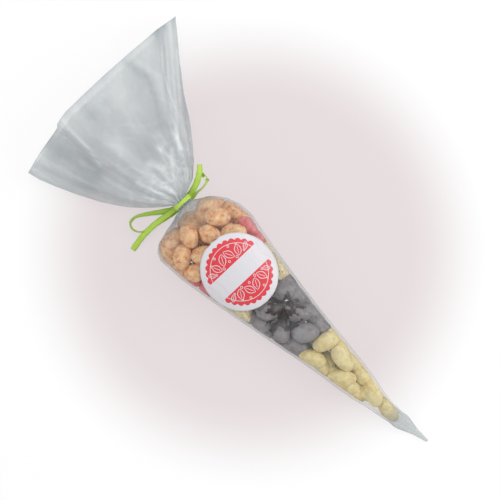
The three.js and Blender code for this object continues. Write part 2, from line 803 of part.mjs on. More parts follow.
function solidOf(geometry) {
  const bare = geometry.index ? geometry.toNonIndexed() : geometry.clone();
  for (const name of Object.keys(bare.attributes)) {
    if (name !== 'position') bare.deleteAttribute(name);
  }
  const merged = mergeVertices(bare, 1e-4);
  return new wasm.Manifold(
    new wasm.Mesh({
      numProp: 3,
      vertProperties: new Float32Array(merged.attributes.position.array),
      triVerts: new Uint32Array(merged.index.array),
    }),
  );
}

function geometryOf(solid) {
  const mesh = solid.getMesh();
  const geometry = new THREE.BufferGeometry();
  geometry.setAttribute('position', new THREE.Float32BufferAttribute(mesh.vertProperties, 3));
  geometry.setIndex(new THREE.Uint32BufferAttribute(mesh.triVerts, 1));
  geometry.computeVertexNormals();
  return geometry;
}

function ribbonGeometry() {
  const strips = Object.values(RIBBON_ROUTES).map((route) => solidOf(stripGeometry(route)));
  const pieces = [solidOf(bandGeometry()), solidOf(knotGeometry()), ...strips];
  return geometryOf(pieces.reduce((joined, piece) => joined.add(piece)));
}

const material = (color, roughness, more = {}) =>
  new THREE.MeshStandardMaterial({ color, roughness, metalness: 0, ...more });

const FILM = material(0xdde3e5, 0.25, { transparent: true, opacity: 0.35 });
const PAPER = material(0xd84046, 0.5);
const RIBBON = material(0x9dc53a, 0.5);

function named(name, geometry, itsMaterial) {
  const mesh = new THREE.Mesh(geometry, itsMaterial);
  mesh.name = name;
  return mesh;
}

function nutMesh(placed) {
  const mesh = named(placed.name, nutGeometry(placed), material(placed.nut.colour, placed.nut.roughness));
  mesh.position.copy(placed.at);
  mesh.rotation.z = Math.atan2(placed.axis.y, placed.axis.x);
  mesh.updateMatrixWorld(true);
  return mesh;
}

// A kind's bed, its nuts joined where they stick together
function bedMesh(kind) {
  const solids = bedNuts(kind).map((placed) =>
    solidOf(nutGeometry(placed)).translate([placed.at.x, placed.at.y, placed.at.z]),
  );
  const joined = solids.reduce((sum, solid) => sum.add(solid));
  const { colour, roughness } = NUTS[kind];
  return named(`${kind}s_under`, geometryOf(joined), material(colour, roughness));
}

// Lets each nut that touches nothing drop until it rests a seat's gap above what is under it
function settle(meshes, film, beds) {
  const step = 0.15;
  const farthestDrop = 20;
  const loose = 0.7;
  const farthestNeighbour = 28;
  const solids = meshes.map((mesh) => solidOf(mesh.geometry.clone().applyMatrix4(mesh.matrixWorld)));
  const filmSolid = solidOf(film.geometry);
  const bedSolids = beds.map((bed) => solidOf(bed.geometry));
  const order = meshes.map((_, i) => i).sort((a, b) => meshes[a].position.z - meshes[b].position.z);
  for (const i of [...order, ...order]) {
    const isNear = (mesh) => mesh.position.distanceTo(meshes[i].position) < farthestNeighbour;
    const around = solids.filter((_, j) => j !== i && isNear(meshes[j]));
    const clearance = (solid) => {
      const gaps = [...around, ...bedSolids].map((other) => solid.minGap(other, 2));
      return Math.min(solid.minGap(filmSolid, 2), ...gaps);
    };
    if (clearance(solids[i]) < loose) continue;
    for (let drop = 0; drop < farthestDrop; drop += step) {
      const lower = solids[i].translate([0, 0, -step]);
      if (clearance(lower) < SEAT_GAP) break;
      solids[i] = lower;
      meshes[i].position.z -= step;
    }
  }
}

const film = named('film_cone', filmGeometry(), FILM);
const bedKinds = Object.keys(NUTS).filter((kind) => NUTS[kind].bed);
const beds = bedKinds.map(bedMesh);
const nuts = packNuts(bedKinds.flatMap(bedNuts)).map(nutMesh);
settle(nuts, film, beds);

const giftCone = new THREE.Group();
giftCone.add(film);
giftCone.add(named('round_label', labelGeometry(), PAPER));
giftCone.add(named('ribbon', ribbonGeometry(), RIBBON));
giftCone.add(...beds);
giftCone.add(...nuts);

export default giftCone;
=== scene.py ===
import math
import random

import bmesh
import bpy
import numpy as np
from mathutils import Matrix, Vector, noise
from mathutils.bvhtree import BVHTree


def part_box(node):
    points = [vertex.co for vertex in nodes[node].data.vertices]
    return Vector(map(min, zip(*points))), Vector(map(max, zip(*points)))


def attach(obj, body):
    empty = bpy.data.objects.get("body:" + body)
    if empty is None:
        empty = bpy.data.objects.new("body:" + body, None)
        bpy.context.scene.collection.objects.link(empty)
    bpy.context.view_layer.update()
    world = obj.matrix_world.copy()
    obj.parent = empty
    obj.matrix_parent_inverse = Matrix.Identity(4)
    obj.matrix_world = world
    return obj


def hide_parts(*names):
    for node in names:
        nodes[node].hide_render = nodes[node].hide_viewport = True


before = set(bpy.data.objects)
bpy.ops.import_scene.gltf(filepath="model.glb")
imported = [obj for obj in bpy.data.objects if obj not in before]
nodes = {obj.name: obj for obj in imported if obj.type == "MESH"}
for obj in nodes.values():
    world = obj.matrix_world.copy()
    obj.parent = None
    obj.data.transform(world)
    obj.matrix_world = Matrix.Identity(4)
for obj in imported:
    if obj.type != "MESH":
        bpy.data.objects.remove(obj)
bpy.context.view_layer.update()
bpy.ops.object.select_all(action="DESELECT")
scene = bpy.context.scene
scene.view_settings.view_transform = "Standard"

# The table and the view: the filled bag lies on its back on a pale matt sheet, and is seen from straight
# above with its tip to the lower right. The sheet is tinted a little under the bag and white round it.
MM = 0.001
TURN_ON_SHEET = math.radians(46.76)
VIEW_CENTRE = (-16.4 * MM, 15 * MM)
VIEW_WIDTH = 379.5 * MM
LENS = 100
SENSOR = 36
MID_HEIGHT = 14 * MM

bpy.ops.object.camera_add()
camera = bpy.context.object
camera.data.lens = LENS
camera.data.sensor_width = SENSOR
camera.location = (*VIEW_CENTRE, MID_HEIGHT + VIEW_WIDTH * LENS / SENSOR)
camera.rotation_euler = (0, 0, TURN_ON_SHEET)
scene.camera = camera

SHEET_TINT = (0.792, 0.722, 0.734, 1)
TINT_CENTRE = (-13.8 * MM, 17.8 * MM)
TINT_RADII = (116 * MM, 188 * MM)
SHEET_SIZE = 6
SHEET_DROP = 0.4 * MM
GLOW_SHARE = 0.8

bpy.ops.mesh.primitive_plane_add(size=SHEET_SIZE, location=(0, 0, -SHEET_DROP))
sheet = bpy.context.object
sheet.name = "table_sheet"
bpy.ops.object.transform_apply(location=True)
paper = bpy.data.materials.new("matt_sheet")
paper.use_nodes = True
tree = paper.node_tree
tree.nodes.clear()
place = tree.nodes.new("ShaderNodeTexCoord")
offset = tree.nodes.new("ShaderNodeVectorMath")
offset.operation = "DISTANCE"
offset.inputs[1].default_value = (*TINT_CENTRE, 0)
tree.links.new(place.outputs["Object"], offset.inputs[0])
fade = tree.nodes.new("ShaderNodeMapRange")
fade.interpolation_type = "SMOOTHSTEP"
fade.inputs["From Min"].default_value = TINT_RADII[0]
fade.inputs["From Max"].default_value = TINT_RADII[1]
tree.links.new(offset.outputs["Value"], fade.inputs["Value"])
tint = tree.nodes.new("ShaderNodeMix")
tint.data_type = "RGBA"
tint.inputs["A"].default_value = SHEET_TINT
tint.inputs["B"].default_value = (1, 1, 1, 1)
tree.links.new(fade.outputs["Result"], tint.inputs["Factor"])
matt = tree.nodes.new("ShaderNodeBsdfDiffuse")
glow = tree.nodes.new("ShaderNodeEmission")
# The sheet glows only to rays that look at it, straight, mirrored or through the film.
rays = tree.nodes.new("ShaderNodeLightPath")
mirrored = tree.nodes.new("ShaderNodeMath")
mirrored.operation = "ADD"
seen = tree.nodes.new("ShaderNodeMath")
seen.operation = "ADD"
seen.use_clamp = True
straight = tree.nodes.new("ShaderNodeMath")
straight.operation = "MULTIPLY"
straight.inputs[1].default_value = GLOW_SHARE
blend = tree.nodes.new("ShaderNodeMixShader")
finish = tree.nodes.new("ShaderNodeOutputMaterial")
tree.links.new(tint.outputs["Result"], matt.inputs["Color"])
tree.links.new(tint.outputs["Result"], glow.inputs["Color"])
tree.links.new(rays.outputs["Is Glossy Ray"], mirrored.inputs[0])
tree.links.new(rays.outputs["Is Transmission Ray"], mirrored.inputs[1])
tree.links.new(rays.outputs["Is Camera Ray"], seen.inputs[0])
tree.links.new(mirrored.outputs["Value"], seen.inputs[1])
tree.links.new(seen.outputs["Value"], straight.inputs[0])
tree.links.new(straight.outputs["Value"], blend.inputs[0])
tree.links.new(matt.outputs["BSDF"], blend.inputs[1])
tree.links.new(glow.outputs["Emission"], blend.inputs[2])
tree.links.new(blend.outputs["Shader"], finish.inputs["Surface"])
sheet.data.materials.append(paper)

# The light: one large soft box over the table and one at each side, as for a catalogue picture, so that
# the clear film shows where it lies flat, where it is creased and where it turns down at its sides.
SOFT_BOXES = [
    ("over_box", (-0.35, 0.25, 1.1), (0.9, 0.6), 3.0),
    ("left_box", (-0.2, -1.0, 0.8), (1.0, 0.5), 3.0),
    ("right_box", (0.5, 0.9, 0.7), (0.8, 0.5), 6.0),
]
ROOM_LIGHT = 0.55
CLEAR_LAYERS = 16  # folded film lies in many layers, and a ray has to get through them all
for name, place_at, size, watts in SOFT_BOXES:
    bpy.ops.object.light_add(type="AREA", location=place_at)
    lamp = bpy.context.object
    lamp.name = name
    lamp.data.shape = "RECTANGLE"
    lamp.data.size, lamp.data.size_y = size
    lamp.data.energy = watts
    lamp.rotation_euler = (-Vector(place_at)).to_track_quat("-Z", "Y").to_euler()
world = bpy.data.worlds.new("studio")
scene.world = world
world.use_nodes = True
world.node_tree.nodes["Background"].inputs["Color"].default_value = (1, 1, 1, 1)
world.node_tree.nodes["Background"].inputs["Strength"].default_value = ROOM_LIGHT
scene.cycles.transparent_max_bounces = CLEAR_LAYERS

# The ribbon: paper ribbon 4.6 mm wide, wound once round the neck and tied in a bow under it. Its two
# limp halves lie on the table, each a loop that comes back to the knot and then runs out as a tail.
RIBBON_WIDTH = 4.6 * MM
RIBBON_THICK = 0.45 * MM
STEPS_BETWEEN_STOPS = 6
EDGE_WAVE = 0.05  # how much the width wavers, as a share of it
EDGE_WAVES_PER_MM = 0.9  # in radians
TIE = (-77.25 * MM, 2.5 * MM, 21 * MM)
# Stops of the two halves: mm from the tie along, across and up, and the way that the flat side faces.
RIBBON_LEFT = [
    (0, -1, -8, (0, 0, 1)),
    (-1, -8, -10, (0.2, 0, 1)),
    (-6, -16, -12, (0.5, -0.2, 1)),
    (-13, -26, -14, (0.8, -0.4, 0.8)),
    (-17.5, -34, -16, (1, 0.3, 0.5)),
    (-17, -40, -16.5, (0.4, 1, 0.3)),
    (-12, -42, -16.5, (-0.2, 1, 0.3)),
    (-6.5, -39, -16, (-0.8, 0.7, 0.3)),
    (-3.5, -32, -15, (-0.9, 0.2, 0.6)),
    (-1.5, -20, -13.5, (-0.6, 0.1, 0.9)),
    (0.2, -9, -11, (-0.2, 0, 1)),
    (0.5, -1, -9, (0, 0, 1)),
]
RIBBON_LEFT_TAIL = [
    (-0.5, -1, -8, (0, 0, 1)),
    (-0.8, -8, -8.6, (0, 0, 1)),
    (-2, -18, -9.6, (-0.1, 0, 1)),
    (-3.2, -30, -12, (-0.1, 0.2, 1)),
    (-2.8, -42, -16, (0.1, 0.25, 1)),
    (-0.8, -53, -19, (0.15, 0.2, 1)),
]
RIBBON_RIGHT = [
    (0.2, 1, -8, (0, 0, 1)),
    (1.2, 7, -7, (0.5, 0, 1)),
    (1.6, 13, -5, (1, 0, 0.4)),
    (1.8, 20, -3.5, (1, -0.1, 0.2)),
    (-0.2, 25.5, -3, (0.6, -0.8, 0.1)),
    (-4, 26, -3, (-0.5, -0.9, 0.1)),
    (-6, 22, -3.6, (-1, 0, 0.2)),
    (-4, 15, -5, (-1, 0.2, 0.4)),
    (-1.5, 8, -7, (-0.6, 0, 1)),
    (-0.2, 1, -8.5, (0, 0, 1)),
]
RIBBON_RIGHT_TAIL = [
    (-0.3, 1, -7.6, (0, 0, 1)),
    (-0.8, 7, -5.6, (0, -0.2, 1)),
    (-2, 13, -3, (0.1, -0.2, 1)),
    (-4.5, 19.5, -0.6, (0.4, -0.2, 1)),
    (-8, 25, 1, (0.8, -0.3, 0.7)),
    (-12, 29, 2, (1, -0.4, 0.3)),
]


def shade_smooth(mesh):
    for polygon in mesh.polygons:
        polygon.use_smooth = True


def smooth_route(stops, steps):
    """Points and facing directions on a smooth line through a ribbon's given stops."""
    at = np.array([[TIE[0] + s[0] * MM, TIE[1] + s[1] * MM, TIE[2] + s[2] * MM] for s in stops])
    facing = np.array([s[3] for s in stops], dtype=float)
    both = np.hstack([at, facing])
    first = 2 * both[0] - both[1]
    last = 2 * both[-1] - both[-2]
    both = np.vstack([first, both, last])
    out = []
    for i in range(1, len(both) - 2):
        a, b, c, d = both[i - 1], both[i], both[i + 1], both[i + 2]
        for j in range(steps):
            t = j / steps
            square = (2 * a - 5 * b + 4 * c - d) * t**2
            cube = (3 * b - a - 3 * c + d) * t**3
            out.append(0.5 * (2 * b + (c - a) * t + square + cube))
    out.append(both[-2])
    out = np.array(out)
    return out[:, :3], out[:, 3:]


def ribbon_strip(name, stops):
    """A flat strip with rounded edges along the stops, made as a mesh, with its route."""
    line, facing = smooth_route(stops, STEPS_BETWEEN_STOPS)
    along = np.gradient(line, axis=0)
    along /= np.linalg.norm(along, axis=1, keepdims=True)
    across = np.cross(facing, along)
    across /= np.linalg.norm(across, axis=1, keepdims=True)
    up = np.cross(along, across)
    section = [(1, 0.35), (0.55, 1), (0, 1.15), (-0.55, 1), (-1, 0.35)]
    section += [(-u, -v) for u, v in section]
    rings = []
    run = np.concatenate([[0], np.cumsum(np.linalg.norm(np.diff(line, axis=0), axis=1))])
    for p, w, h, s in zip(line, across, up, run):
        crease = 1 + EDGE_WAVE * math.sin(s / MM * EDGE_WAVES_PER_MM)
        rings.append([p + w * u * crease * RIBBON_WIDTH / 2 + h * v * RIBBON_THICK / 2 for u, v in section])
    count = len(section)
    points = [tuple(p) for ring in rings for p in ring]
    faces = []
    for r in range(len(rings) - 1):
        for i in range(count):
            j = (i + 1) % count
            faces.append((r * count + i, r * count + j, (r + 1) * count + j, (r + 1) * count + i))
    faces.append(tuple(reversed(range(count))))
    faces.append(tuple(range((len(rings) - 1) * count, len(rings) * count)))
    mesh = bpy.data.meshes.new(name)
    mesh.from_pydata(points, [], faces)
    strip = bpy.data.objects.new(name, mesh)
    scene.collection.objects.link(strip)
    tidy = bmesh.new()
    tidy.from_mesh(mesh)
    bmesh.ops.recalc_face_normals(tidy, faces=tidy.faces)
    layer = tidy.loops.layers.uv.new("along_ribbon")
    for face in tidy.faces:
        for loop in face.loops:
            ring, k = divmod(loop.vert.index, count)
            loop[layer].uv = (section[k][0] * RIBBON_WIDTH / 2 / MM, run[ring] / MM)
    tidy.to_mesh(mesh)
    tidy.free()
    shade_smooth(mesh)
    return strip, line, float(run[-1])


def ribbon_paper():
    """Lime paper ribbon: long fibres in it, a little darker at its edges, with a soft sheen."""
    material = bpy.data.materials.new("lime_ribbon")
    material.use_nodes = True
    tree = material.node_tree
    shader = tree.nodes["Principled BSDF"]
    shader.inputs["Roughness"].default_value = 0.45
    shader.inputs["Sheen Weight"].default_value = 0.2
    uv = tree.nodes.new("ShaderNodeUVMap")
    uv.uv_map = "along_ribbon"
    split = tree.nodes.new("ShaderNodeSeparateXYZ")
    tree.links.new(uv.outputs["UV"], split.inputs["Vector"])
    edge = tree.nodes.new("ShaderNodeMath")
    edge.operation = "ABSOLUTE"
    tree.links.new(split.outputs["X"], edge.inputs[0])
    rim = tree.nodes.new("ShaderNodeMapRange")
    rim.interpolation_type = "SMOOTHSTEP"
    rim.inputs["From Min"].default_value = 1.1
    rim.inputs["From Max"].default_value = 2.3
    tree.links.new(edge.outputs["Value"], rim.inputs["Value"])
    stretch = tree.nodes.new("ShaderNodeMapping")
    stretch.inputs["Scale"].default_value = (3.5, 0.18, 1)
    tree.links.new(uv.outputs["UV"], stretch.inputs["Vector"])
    fibre = tree.nodes.new("ShaderNodeTexNoise")
    fibre.inputs["Scale"].default_value = 1
    fibre.inputs["Detail"].default_value = 6
    tree.links.new(stretch.outputs["Vector"], fibre.inputs["Vector"])
    tone = tree.nodes.new("ShaderNodeValToRGB")
    tone.color_ramp.elements[0].position = 0.3
    tone.color_ramp.elements[0].color = (0.36, 0.59, 0.035, 1)
    tone.color_ramp.elements[1].position = 0.75
    tone.color_ramp.elements[1].color = (0.60, 0.82, 0.13, 1)
    tree.links.new(fibre.outputs["Fac"], tone.inputs["Fac"])
    darker = tree.nodes.new("ShaderNodeMix")
    darker.data_type = "RGBA"
    darker.blend_type = "MULTIPLY"
    darker.inputs["B"].default_value = (0.72, 0.85, 0.62, 1)
    tree.links.new(tone.outputs["Color"], darker.inputs["A"])
    tree.links.new(rim.outputs["Result"], darker.inputs["Factor"])
    tree.links.new(darker.outputs["Result"], shader.inputs["Base Color"])
    grain = tree.nodes.new("ShaderNodeBump")
    grain.inputs["Strength"].default_value = 0.35
    grain.inputs["Distance"].default_value = 0.0003
    tree.links.new(fibre.outputs["Fac"], grain.inputs["Height"])
    tree.links.new(grain.outputs["Normal"], shader.inputs["Normal"])
    return material


lime_ribbon = ribbon_paper()
for side, loop, tail in (
    ("ribbon_left", RIBBON_LEFT, RIBBON_LEFT_TAIL),
    ("ribbon_right", RIBBON_RIGHT, RIBBON_RIGHT_TAIL),
):
    strip, route, length = ribbon_strip(side, loop + tail)
    strip.data.materials.append(lime_ribbon)
    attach(strip, "root")
    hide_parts("ribbon")

# The turn of the same ribbon round the gathered neck, with the bow's knot under it: the ribbon is pulled
# tight, so the turn is narrow and folded along its length, and the knot is a small flattened lump.
NECK_RADII = (7.0 * MM, 6.25 * MM)
KNOT_SIZE = (6 * MM, 7.5 * MM, 4.5 * MM)
KNOT_DROP = 8.4 * MM
TURN_CLEARANCE = 0.3 * MM
TURN_HALF_WIDTH = 1.75  # mm
TORUS_THIN = 0.06  # the torus is made with a tube of this radius, then widened along X
bpy.ops.object.select_all(action="DESELECT")
bpy.ops.mesh.primitive_torus_add(
    major_segments=96,
    minor_segments=16,
    major_radius=1,
    minor_radius=TORUS_THIN,
    location=TIE,
    rotation=(0, math.pi / 2, 0),
)
turn = bpy.context.object
turn.name = "ribbon_turn"
turn.scale = (NECK_RADII[1] + TURN_CLEARANCE, NECK_RADII[0] + TURN_CLEARANCE, 1)
bpy.ops.object.transform_apply(location=True, rotation=True, scale=True)
for vertex in turn.data.vertices:
    off = vertex.co.x - TIE[0]
    around = math.atan2(vertex.co.z - TIE[2], vertex.co.y - TIE[1])
    half_width = (TURN_HALF_WIDTH + 0.3 * math.sin(3 * around) + 0.2 * math.sin(5 * around + 1)) * MM
    vertex.co.x = TIE[0] + off / TORUS_THIN * half_width
bpy.ops.object.select_all(action="DESELECT")
bpy.ops.mesh.primitive_uv_sphere_add(segments=32, ring_count=20, radius=1, location=(0, 0, 0))
knot = bpy.context.object
knot.name = "ribbon_knot"
for vertex in knot.data.vertices:
    lump = 1 + 0.1 * noise.noise(vertex.co * 1.7 + Vector((3, 1, 5)))
    groove = 0.86 + 0.14 * min(1, abs(vertex.co.y + 0.3 * vertex.co.x) * 4)
    vertex.co = Vector(
        (
            TIE[0] + vertex.co.x * lump * groove * KNOT_SIZE[0] / 2,
            TIE[1] + vertex.co.y * lump * KNOT_SIZE[1] / 2,
            TIE[2] - KNOT_DROP + vertex.co.z * lump * groove * KNOT_SIZE[2] / 2,
        )
    )
for piece in (turn, knot):
    bpy.context.view_layer.objects.active = piece
    shade_smooth(piece.data)
    piece.data.uv_layers[0].name = "along_ribbon"
    for loop in piece.data.loops:
        corner = piece.data.vertices[loop.vertex_index].co
        piece.data.uv_layers[0].data[loop.index].uv = ((corner.x - TIE[0]) / MM, corner.z / MM)
    piece.data.materials.append(lime_ribbon)
    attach(piece, "root")
    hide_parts("ribbon")

# The inside of the bag, measured on the frame's film, because the nuts fill it and the drawn film hugs
# them. Rays are shot at its solid from well above and well below, where nothing else lies.
TIP_FROM_ORIGIN = 185 * MM
SAME_POINT = 0.005 * MM
FROM_ABOVE = 0.2
FROM_BELOW = -0.1


def merged_solid(node, gap=SAME_POINT):
    """A frame node's solid in its place, with the loose corners of its triangles merged."""
    solid = bmesh.new()
    solid.from_mesh(node.data)
    bmesh.ops.transform(solid, matrix=node.matrix_world, verts=solid.verts)
    bmesh.ops.remove_doubles(solid, verts=solid.verts, dist=gap)
    return solid


solid = merged_solid(nodes["film_cone"])
film_tree = BVHTree.FromBMesh(solid)
edge_ends = np.array([[tuple(e.verts[0].co), tuple(e.verts[1].co)] for e in solid.edges])
solid.free()


def section_sides(x):
    """The two outermost points of the film's section at x: at the -Y weld and at the +Y weld."""
    a, b = edge_ends[:, 0], edge_ends[:, 1]
    crossing = (a[:, 0] - x) * (b[:, 0] - x) <= 0
    a, b = a[crossing], b[crossing]
    span = b[:, 0] - a[:, 0]
    share = np.where(np.abs(span) > 1e-12, (x - a[:, 0]) / np.where(span == 0, 1, span), 0.5)
    cut = a + (b - a) * np.clip(share, 0, 1)[:, None]
    return cut[np.argmin(cut[:, 1])], cut[np.argmax(cut[:, 1])]


PRESS_GAP = 0.5 * MM
SIDE_GAP = 3.0 * MM
PRESS_SOFT = 1.5 * MM  # depth over which the skin gives way before it stops
PRESS_CORE = 3 * MM  # points closer than this to the bag's middle are left alone
SLICES_PER_MM = 2


def press_inside(mesh):
    """Presses a nut's skin back from the frame's film, most at the bag's two sides."""
    sides = {}
    for v in mesh.vertices:
        x = round(v.co.x / MM * SLICES_PER_MM) / SLICES_PER_MM * MM
        if x not in sides:
            sides[x] = section_sides(x)
        low, high = sides[x]
        middle = Vector((v.co.x, (low[1] + high[1]) / 2, (low[2] + high[2]) / 2))
        out = v.co - middle
        reach = out.length
        if reach < PRESS_CORE:
            continue
        out.normalize()
        hit = film_tree.ray_cast(middle, out)[0]
        if hit is None:
            continue
        limit = (hit - middle).length - PRESS_GAP - SIDE_GAP * out.y**4
        over = reach - (limit - PRESS_SOFT)
        if over > 0:
            v.co = middle + out * (limit - PRESS_SOFT * math.exp(-over / PRESS_SOFT))


# The nuts: almonds and hazelnuts rolled in sugar or chocolate until the coat is 2 to 3 mm thick. Each
# keeps the frame's place, is drawn 12 to 20 % larger, so that it runs into its neighbours and no gap
# shows, and gets the rounder, lumpier skin of its own coating. Lumps and grain are given in mm.
NUT_SAME_POINT = 0.02 * MM
ROUNDING_LEVELS = 3
COATS = {
    "yellow": {"swell": 1.12, "lumps": 0.35, "lump_size": 6.0, "grain": 0.05, "grain_size": 1.2},
    "dark": {"swell": 1.2, "lumps": 0.9, "lump_size": 7.0, "grain": 0.10, "grain_size": 2.2},
    "speckled": {"swell": 1.13, "lumps": 0.6, "lump_size": 5.0, "grain": 0.12, "grain_size": 1.5},
    "pink": {"swell": 1.14, "lumps": 0.55, "lump_size": 5.0, "grain": 0.14, "grain_size": 1.5},
    "brown": {"swell": 1.12, "lumps": 0.55, "lump_size": 5.5, "grain": 0.22, "grain_size": 1.6},
}


def coated_nut(node_name):
    """A smooth lumpy copy of a nut's faceted solid, in the same place."""
    kind = node_name.split("_")[0]
    coat = COATS[kind]
    source = nodes[node_name]
    piece = bpy.data.objects.new(node_name.replace("_nut", "_coated_nut"), source.data.copy())
    scene.collection.objects.link(piece)
    skin = merged_solid(source, NUT_SAME_POINT)
    middle = sum((v.co for v in skin.verts), Vector()) / len(skin.verts)
    for v in skin.verts:
        v.co = middle + (v.co - middle) * coat["swell"]
    skin.to_mesh(piece.data)
    skin.free()
    piece.data.materials.clear()
    bpy.ops.object.select_all(action="DESELECT")
    bpy.context.view_layer.objects.active = piece
    piece.select_set(True)
    rounder = piece.modifiers.new("rounder", "SUBSURF")
    rounder.levels = ROUNDING_LEVELS
    rounder.render_levels = ROUNDING_LEVELS
    bpy.ops.object.modifier_apply(modifier=rounder.name)
    seed = Vector((middle.x * 900, middle.y * 700, middle.z * 800))
    for v in piece.data.vertices:
        out = (v.co - middle).normalized()
        lump = noise.noise(v.co / (coat["lump_size"] * MM) + seed)
        grain = noise.noise(v.co / (coat["grain_size"] * MM) + seed)
        v.co += out * (coat["lumps"] * lump + coat["grain"] * grain) * MM
    press_inside(piece.data)
    shade_smooth(piece.data)
    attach(piece, "root")
    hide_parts(node_name)
    return piece


def coat_material(name, stops, size, detail, roughness, bump, specks=None, painted_reflection_spot=None):
    """A mottled coating: colours over a noise, with a raised grain, specks if asked, and if asked a painted
    reflection that lightens the coat away from a given spot and darkens it there.
    """
    material = bpy.data.materials.new(name)
    material.use_nodes = True
    tree = material.node_tree
    shader = tree.nodes["Principled BSDF"]
    place = tree.nodes.new("ShaderNodeTexCoord")
    mottle = tree.nodes.new("ShaderNodeTexNoise")
    mottle.inputs["Scale"].default_value = 1 / (size * MM)
    mottle.inputs["Detail"].default_value = detail
    mottle.inputs["Roughness"].default_value = 0.6
    tree.links.new(place.outputs["Object"], mottle.inputs["Vector"])
    tone = tree.nodes.new("ShaderNodeValToRGB")
    ramp = tone.color_ramp
    while len(ramp.elements) < len(stops):
        ramp.elements.new(0.5)
    for element, (position, colour) in zip(ramp.elements, stops):
        element.position = position
        element.color = (*colour, 1)
    mottle_out = mottle.outputs["Fac"]
    # Painted reflection of the film over the coat: lighter away from the given spot, and darker at it,
    # where the film lies clear.
    if painted_reflection_spot:
        away = tree.nodes.new("ShaderNodeVectorMath")
        away.operation = "DISTANCE"
        away.inputs[1].default_value = painted_reflection_spot["at"]
        tree.links.new(place.outputs["Object"], away.inputs[0])
        near = tree.nodes.new("ShaderNodeMapRange")
        near.interpolation_type = "SMOOTHSTEP"
        near.inputs["From Max"].default_value = painted_reflection_spot["radius"]
        near.inputs["To Min"].default_value = -painted_reflection_spot["pull"]
        near.inputs["To Max"].default_value = painted_reflection_spot["pull"] * 0.6
        tree.links.new(away.outputs["Value"], near.inputs["Value"])
        pulled = tree.nodes.new("ShaderNodeMath")
        pulled.operation = "ADD"
        tree.links.new(mottle_out, pulled.inputs[0])
        tree.links.new(near.outputs["Result"], pulled.inputs[1])
        mottle_out = pulled.outputs["Value"]
    tree.links.new(mottle_out, tone.inputs["Fac"])
    colour_out = tone.outputs["Color"]
    if specks:
        spots = tree.nodes.new("ShaderNodeTexNoise")
        spots.inputs["Scale"].default_value = 1 / (specks["size"] * MM)
        spots.inputs["Detail"].default_value = 3
        tree.links.new(place.outputs["Object"], spots.inputs["Vector"])
        cut = tree.nodes.new("ShaderNodeMapRange")
        cut.inputs["From Min"].default_value = specks["from"]
        cut.inputs["From Max"].default_value = specks["from"] + 0.03
        tree.links.new(spots.outputs["Fac"], cut.inputs["Value"])
        speckled = tree.nodes.new("ShaderNodeMix")
        speckled.data_type = "RGBA"
        speckled.inputs["B"].default_value = (*specks["colour"], 1)
        tree.links.new(cut.outputs["Result"], speckled.inputs["Factor"])
        tree.links.new(colour_out, speckled.inputs["A"])
        colour_out = speckled.outputs["Result"]
    tree.links.new(colour_out, shader.inputs["Base Color"])
    rough = tree.nodes.new("ShaderNodeMapRange")
    rough.inputs["To Min"].default_value = roughness - 0.1
    rough.inputs["To Max"].default_value = roughness + 0.1
    tree.links.new(mottle.outputs["Fac"], rough.inputs["Value"])
    tree.links.new(rough.outputs["Result"], shader.inputs["Roughness"])
    fine = tree.nodes.new("ShaderNodeTexNoise")
    fine.inputs["Scale"].default_value = 1 / (0.8 * MM)
    fine.inputs["Detail"].default_value = 5
    tree.links.new(place.outputs["Object"], fine.inputs["Vector"])
    grain = tree.nodes.new("ShaderNodeBump")
    grain.inputs["Strength"].default_value = bump
    grain.inputs["Distance"].default_value = 0.0004
    tree.links.new(fine.outputs["Fac"], grain.inputs["Height"])
    tree.links.new(grain.outputs["Normal"], shader.inputs["Normal"])
    return material


COAT_MATERIALS = {
    "yellow": coat_material(
        "cream_sugar_coat",
        [(0.35, (0.63, 0.49, 0.20)), (0.55, (0.74, 0.63, 0.32)), (0.75, (0.82, 0.74, 0.44))],
        size=4.0,
        detail=4,
        roughness=0.55,
        bump=0.3,
    ),
    # Dark chocolate is near black. The grey stops, and the lighter coat away from the given spot, are
    # painted reflection of the milky film over these nuts.
    "dark": coat_material(
        "dark_chocolate_and_painted_reflection",
        [
            (0.45, (0.022, 0.005, 0.005)),
            (0.48, (0.05, 0.02, 0.02)),
            (0.5, (0.175, 0.15, 0.157)),
            (0.7, (0.26, 0.235, 0.24)),
        ],
        size=9.0,
        detail=2,
        roughness=0.4,
        bump=0.2,
        painted_reflection_spot={"at": (0.034, 0.001, 0.030), "radius": 0.022, "pull": 0.19},
    ),
    "speckled": coat_material(
        "speckled_cream_coat",
        [(0.3, (0.60, 0.42, 0.20)), (0.5, (0.80, 0.68, 0.40)), (0.75, (0.90, 0.83, 0.60))],
        size=3.0,
        detail=4,
        roughness=0.6,
        bump=0.4,
        specks={"size": 1.3, "from": 0.63, "colour": (0.05, 0.04, 0.035)},
    ),
    "pink": coat_material(
        "pink_sugar_coat",
        [(0.3, (0.60, 0.09, 0.09)), (0.5, (0.76, 0.18, 0.18)), (0.75, (0.86, 0.38, 0.36))],
        size=3.0,
        detail=5,
        roughness=0.6,
        bump=0.5,
    ),
    "brown": coat_material(
        "candied_sugar_crust",
        [
            (0.3, (0.46, 0.13, 0.035)),
            (0.4, (0.72, 0.32, 0.12)),
            (0.55, (0.88, 0.54, 0.27)),
            (0.8, (0.95, 0.74, 0.48)),
        ],
        size=3.5,
        detail=7,
        roughness=0.55,
        bump=0.8,
    ),
}

nut_pieces = []
for node_name in sorted(nodes):
    if "_nut_" in node_name:
        nut = coated_nut(node_name)
        nut.data.materials.append(COAT_MATERIALS[node_name.split("_")[0]])
        nut_pieces.append(nut)

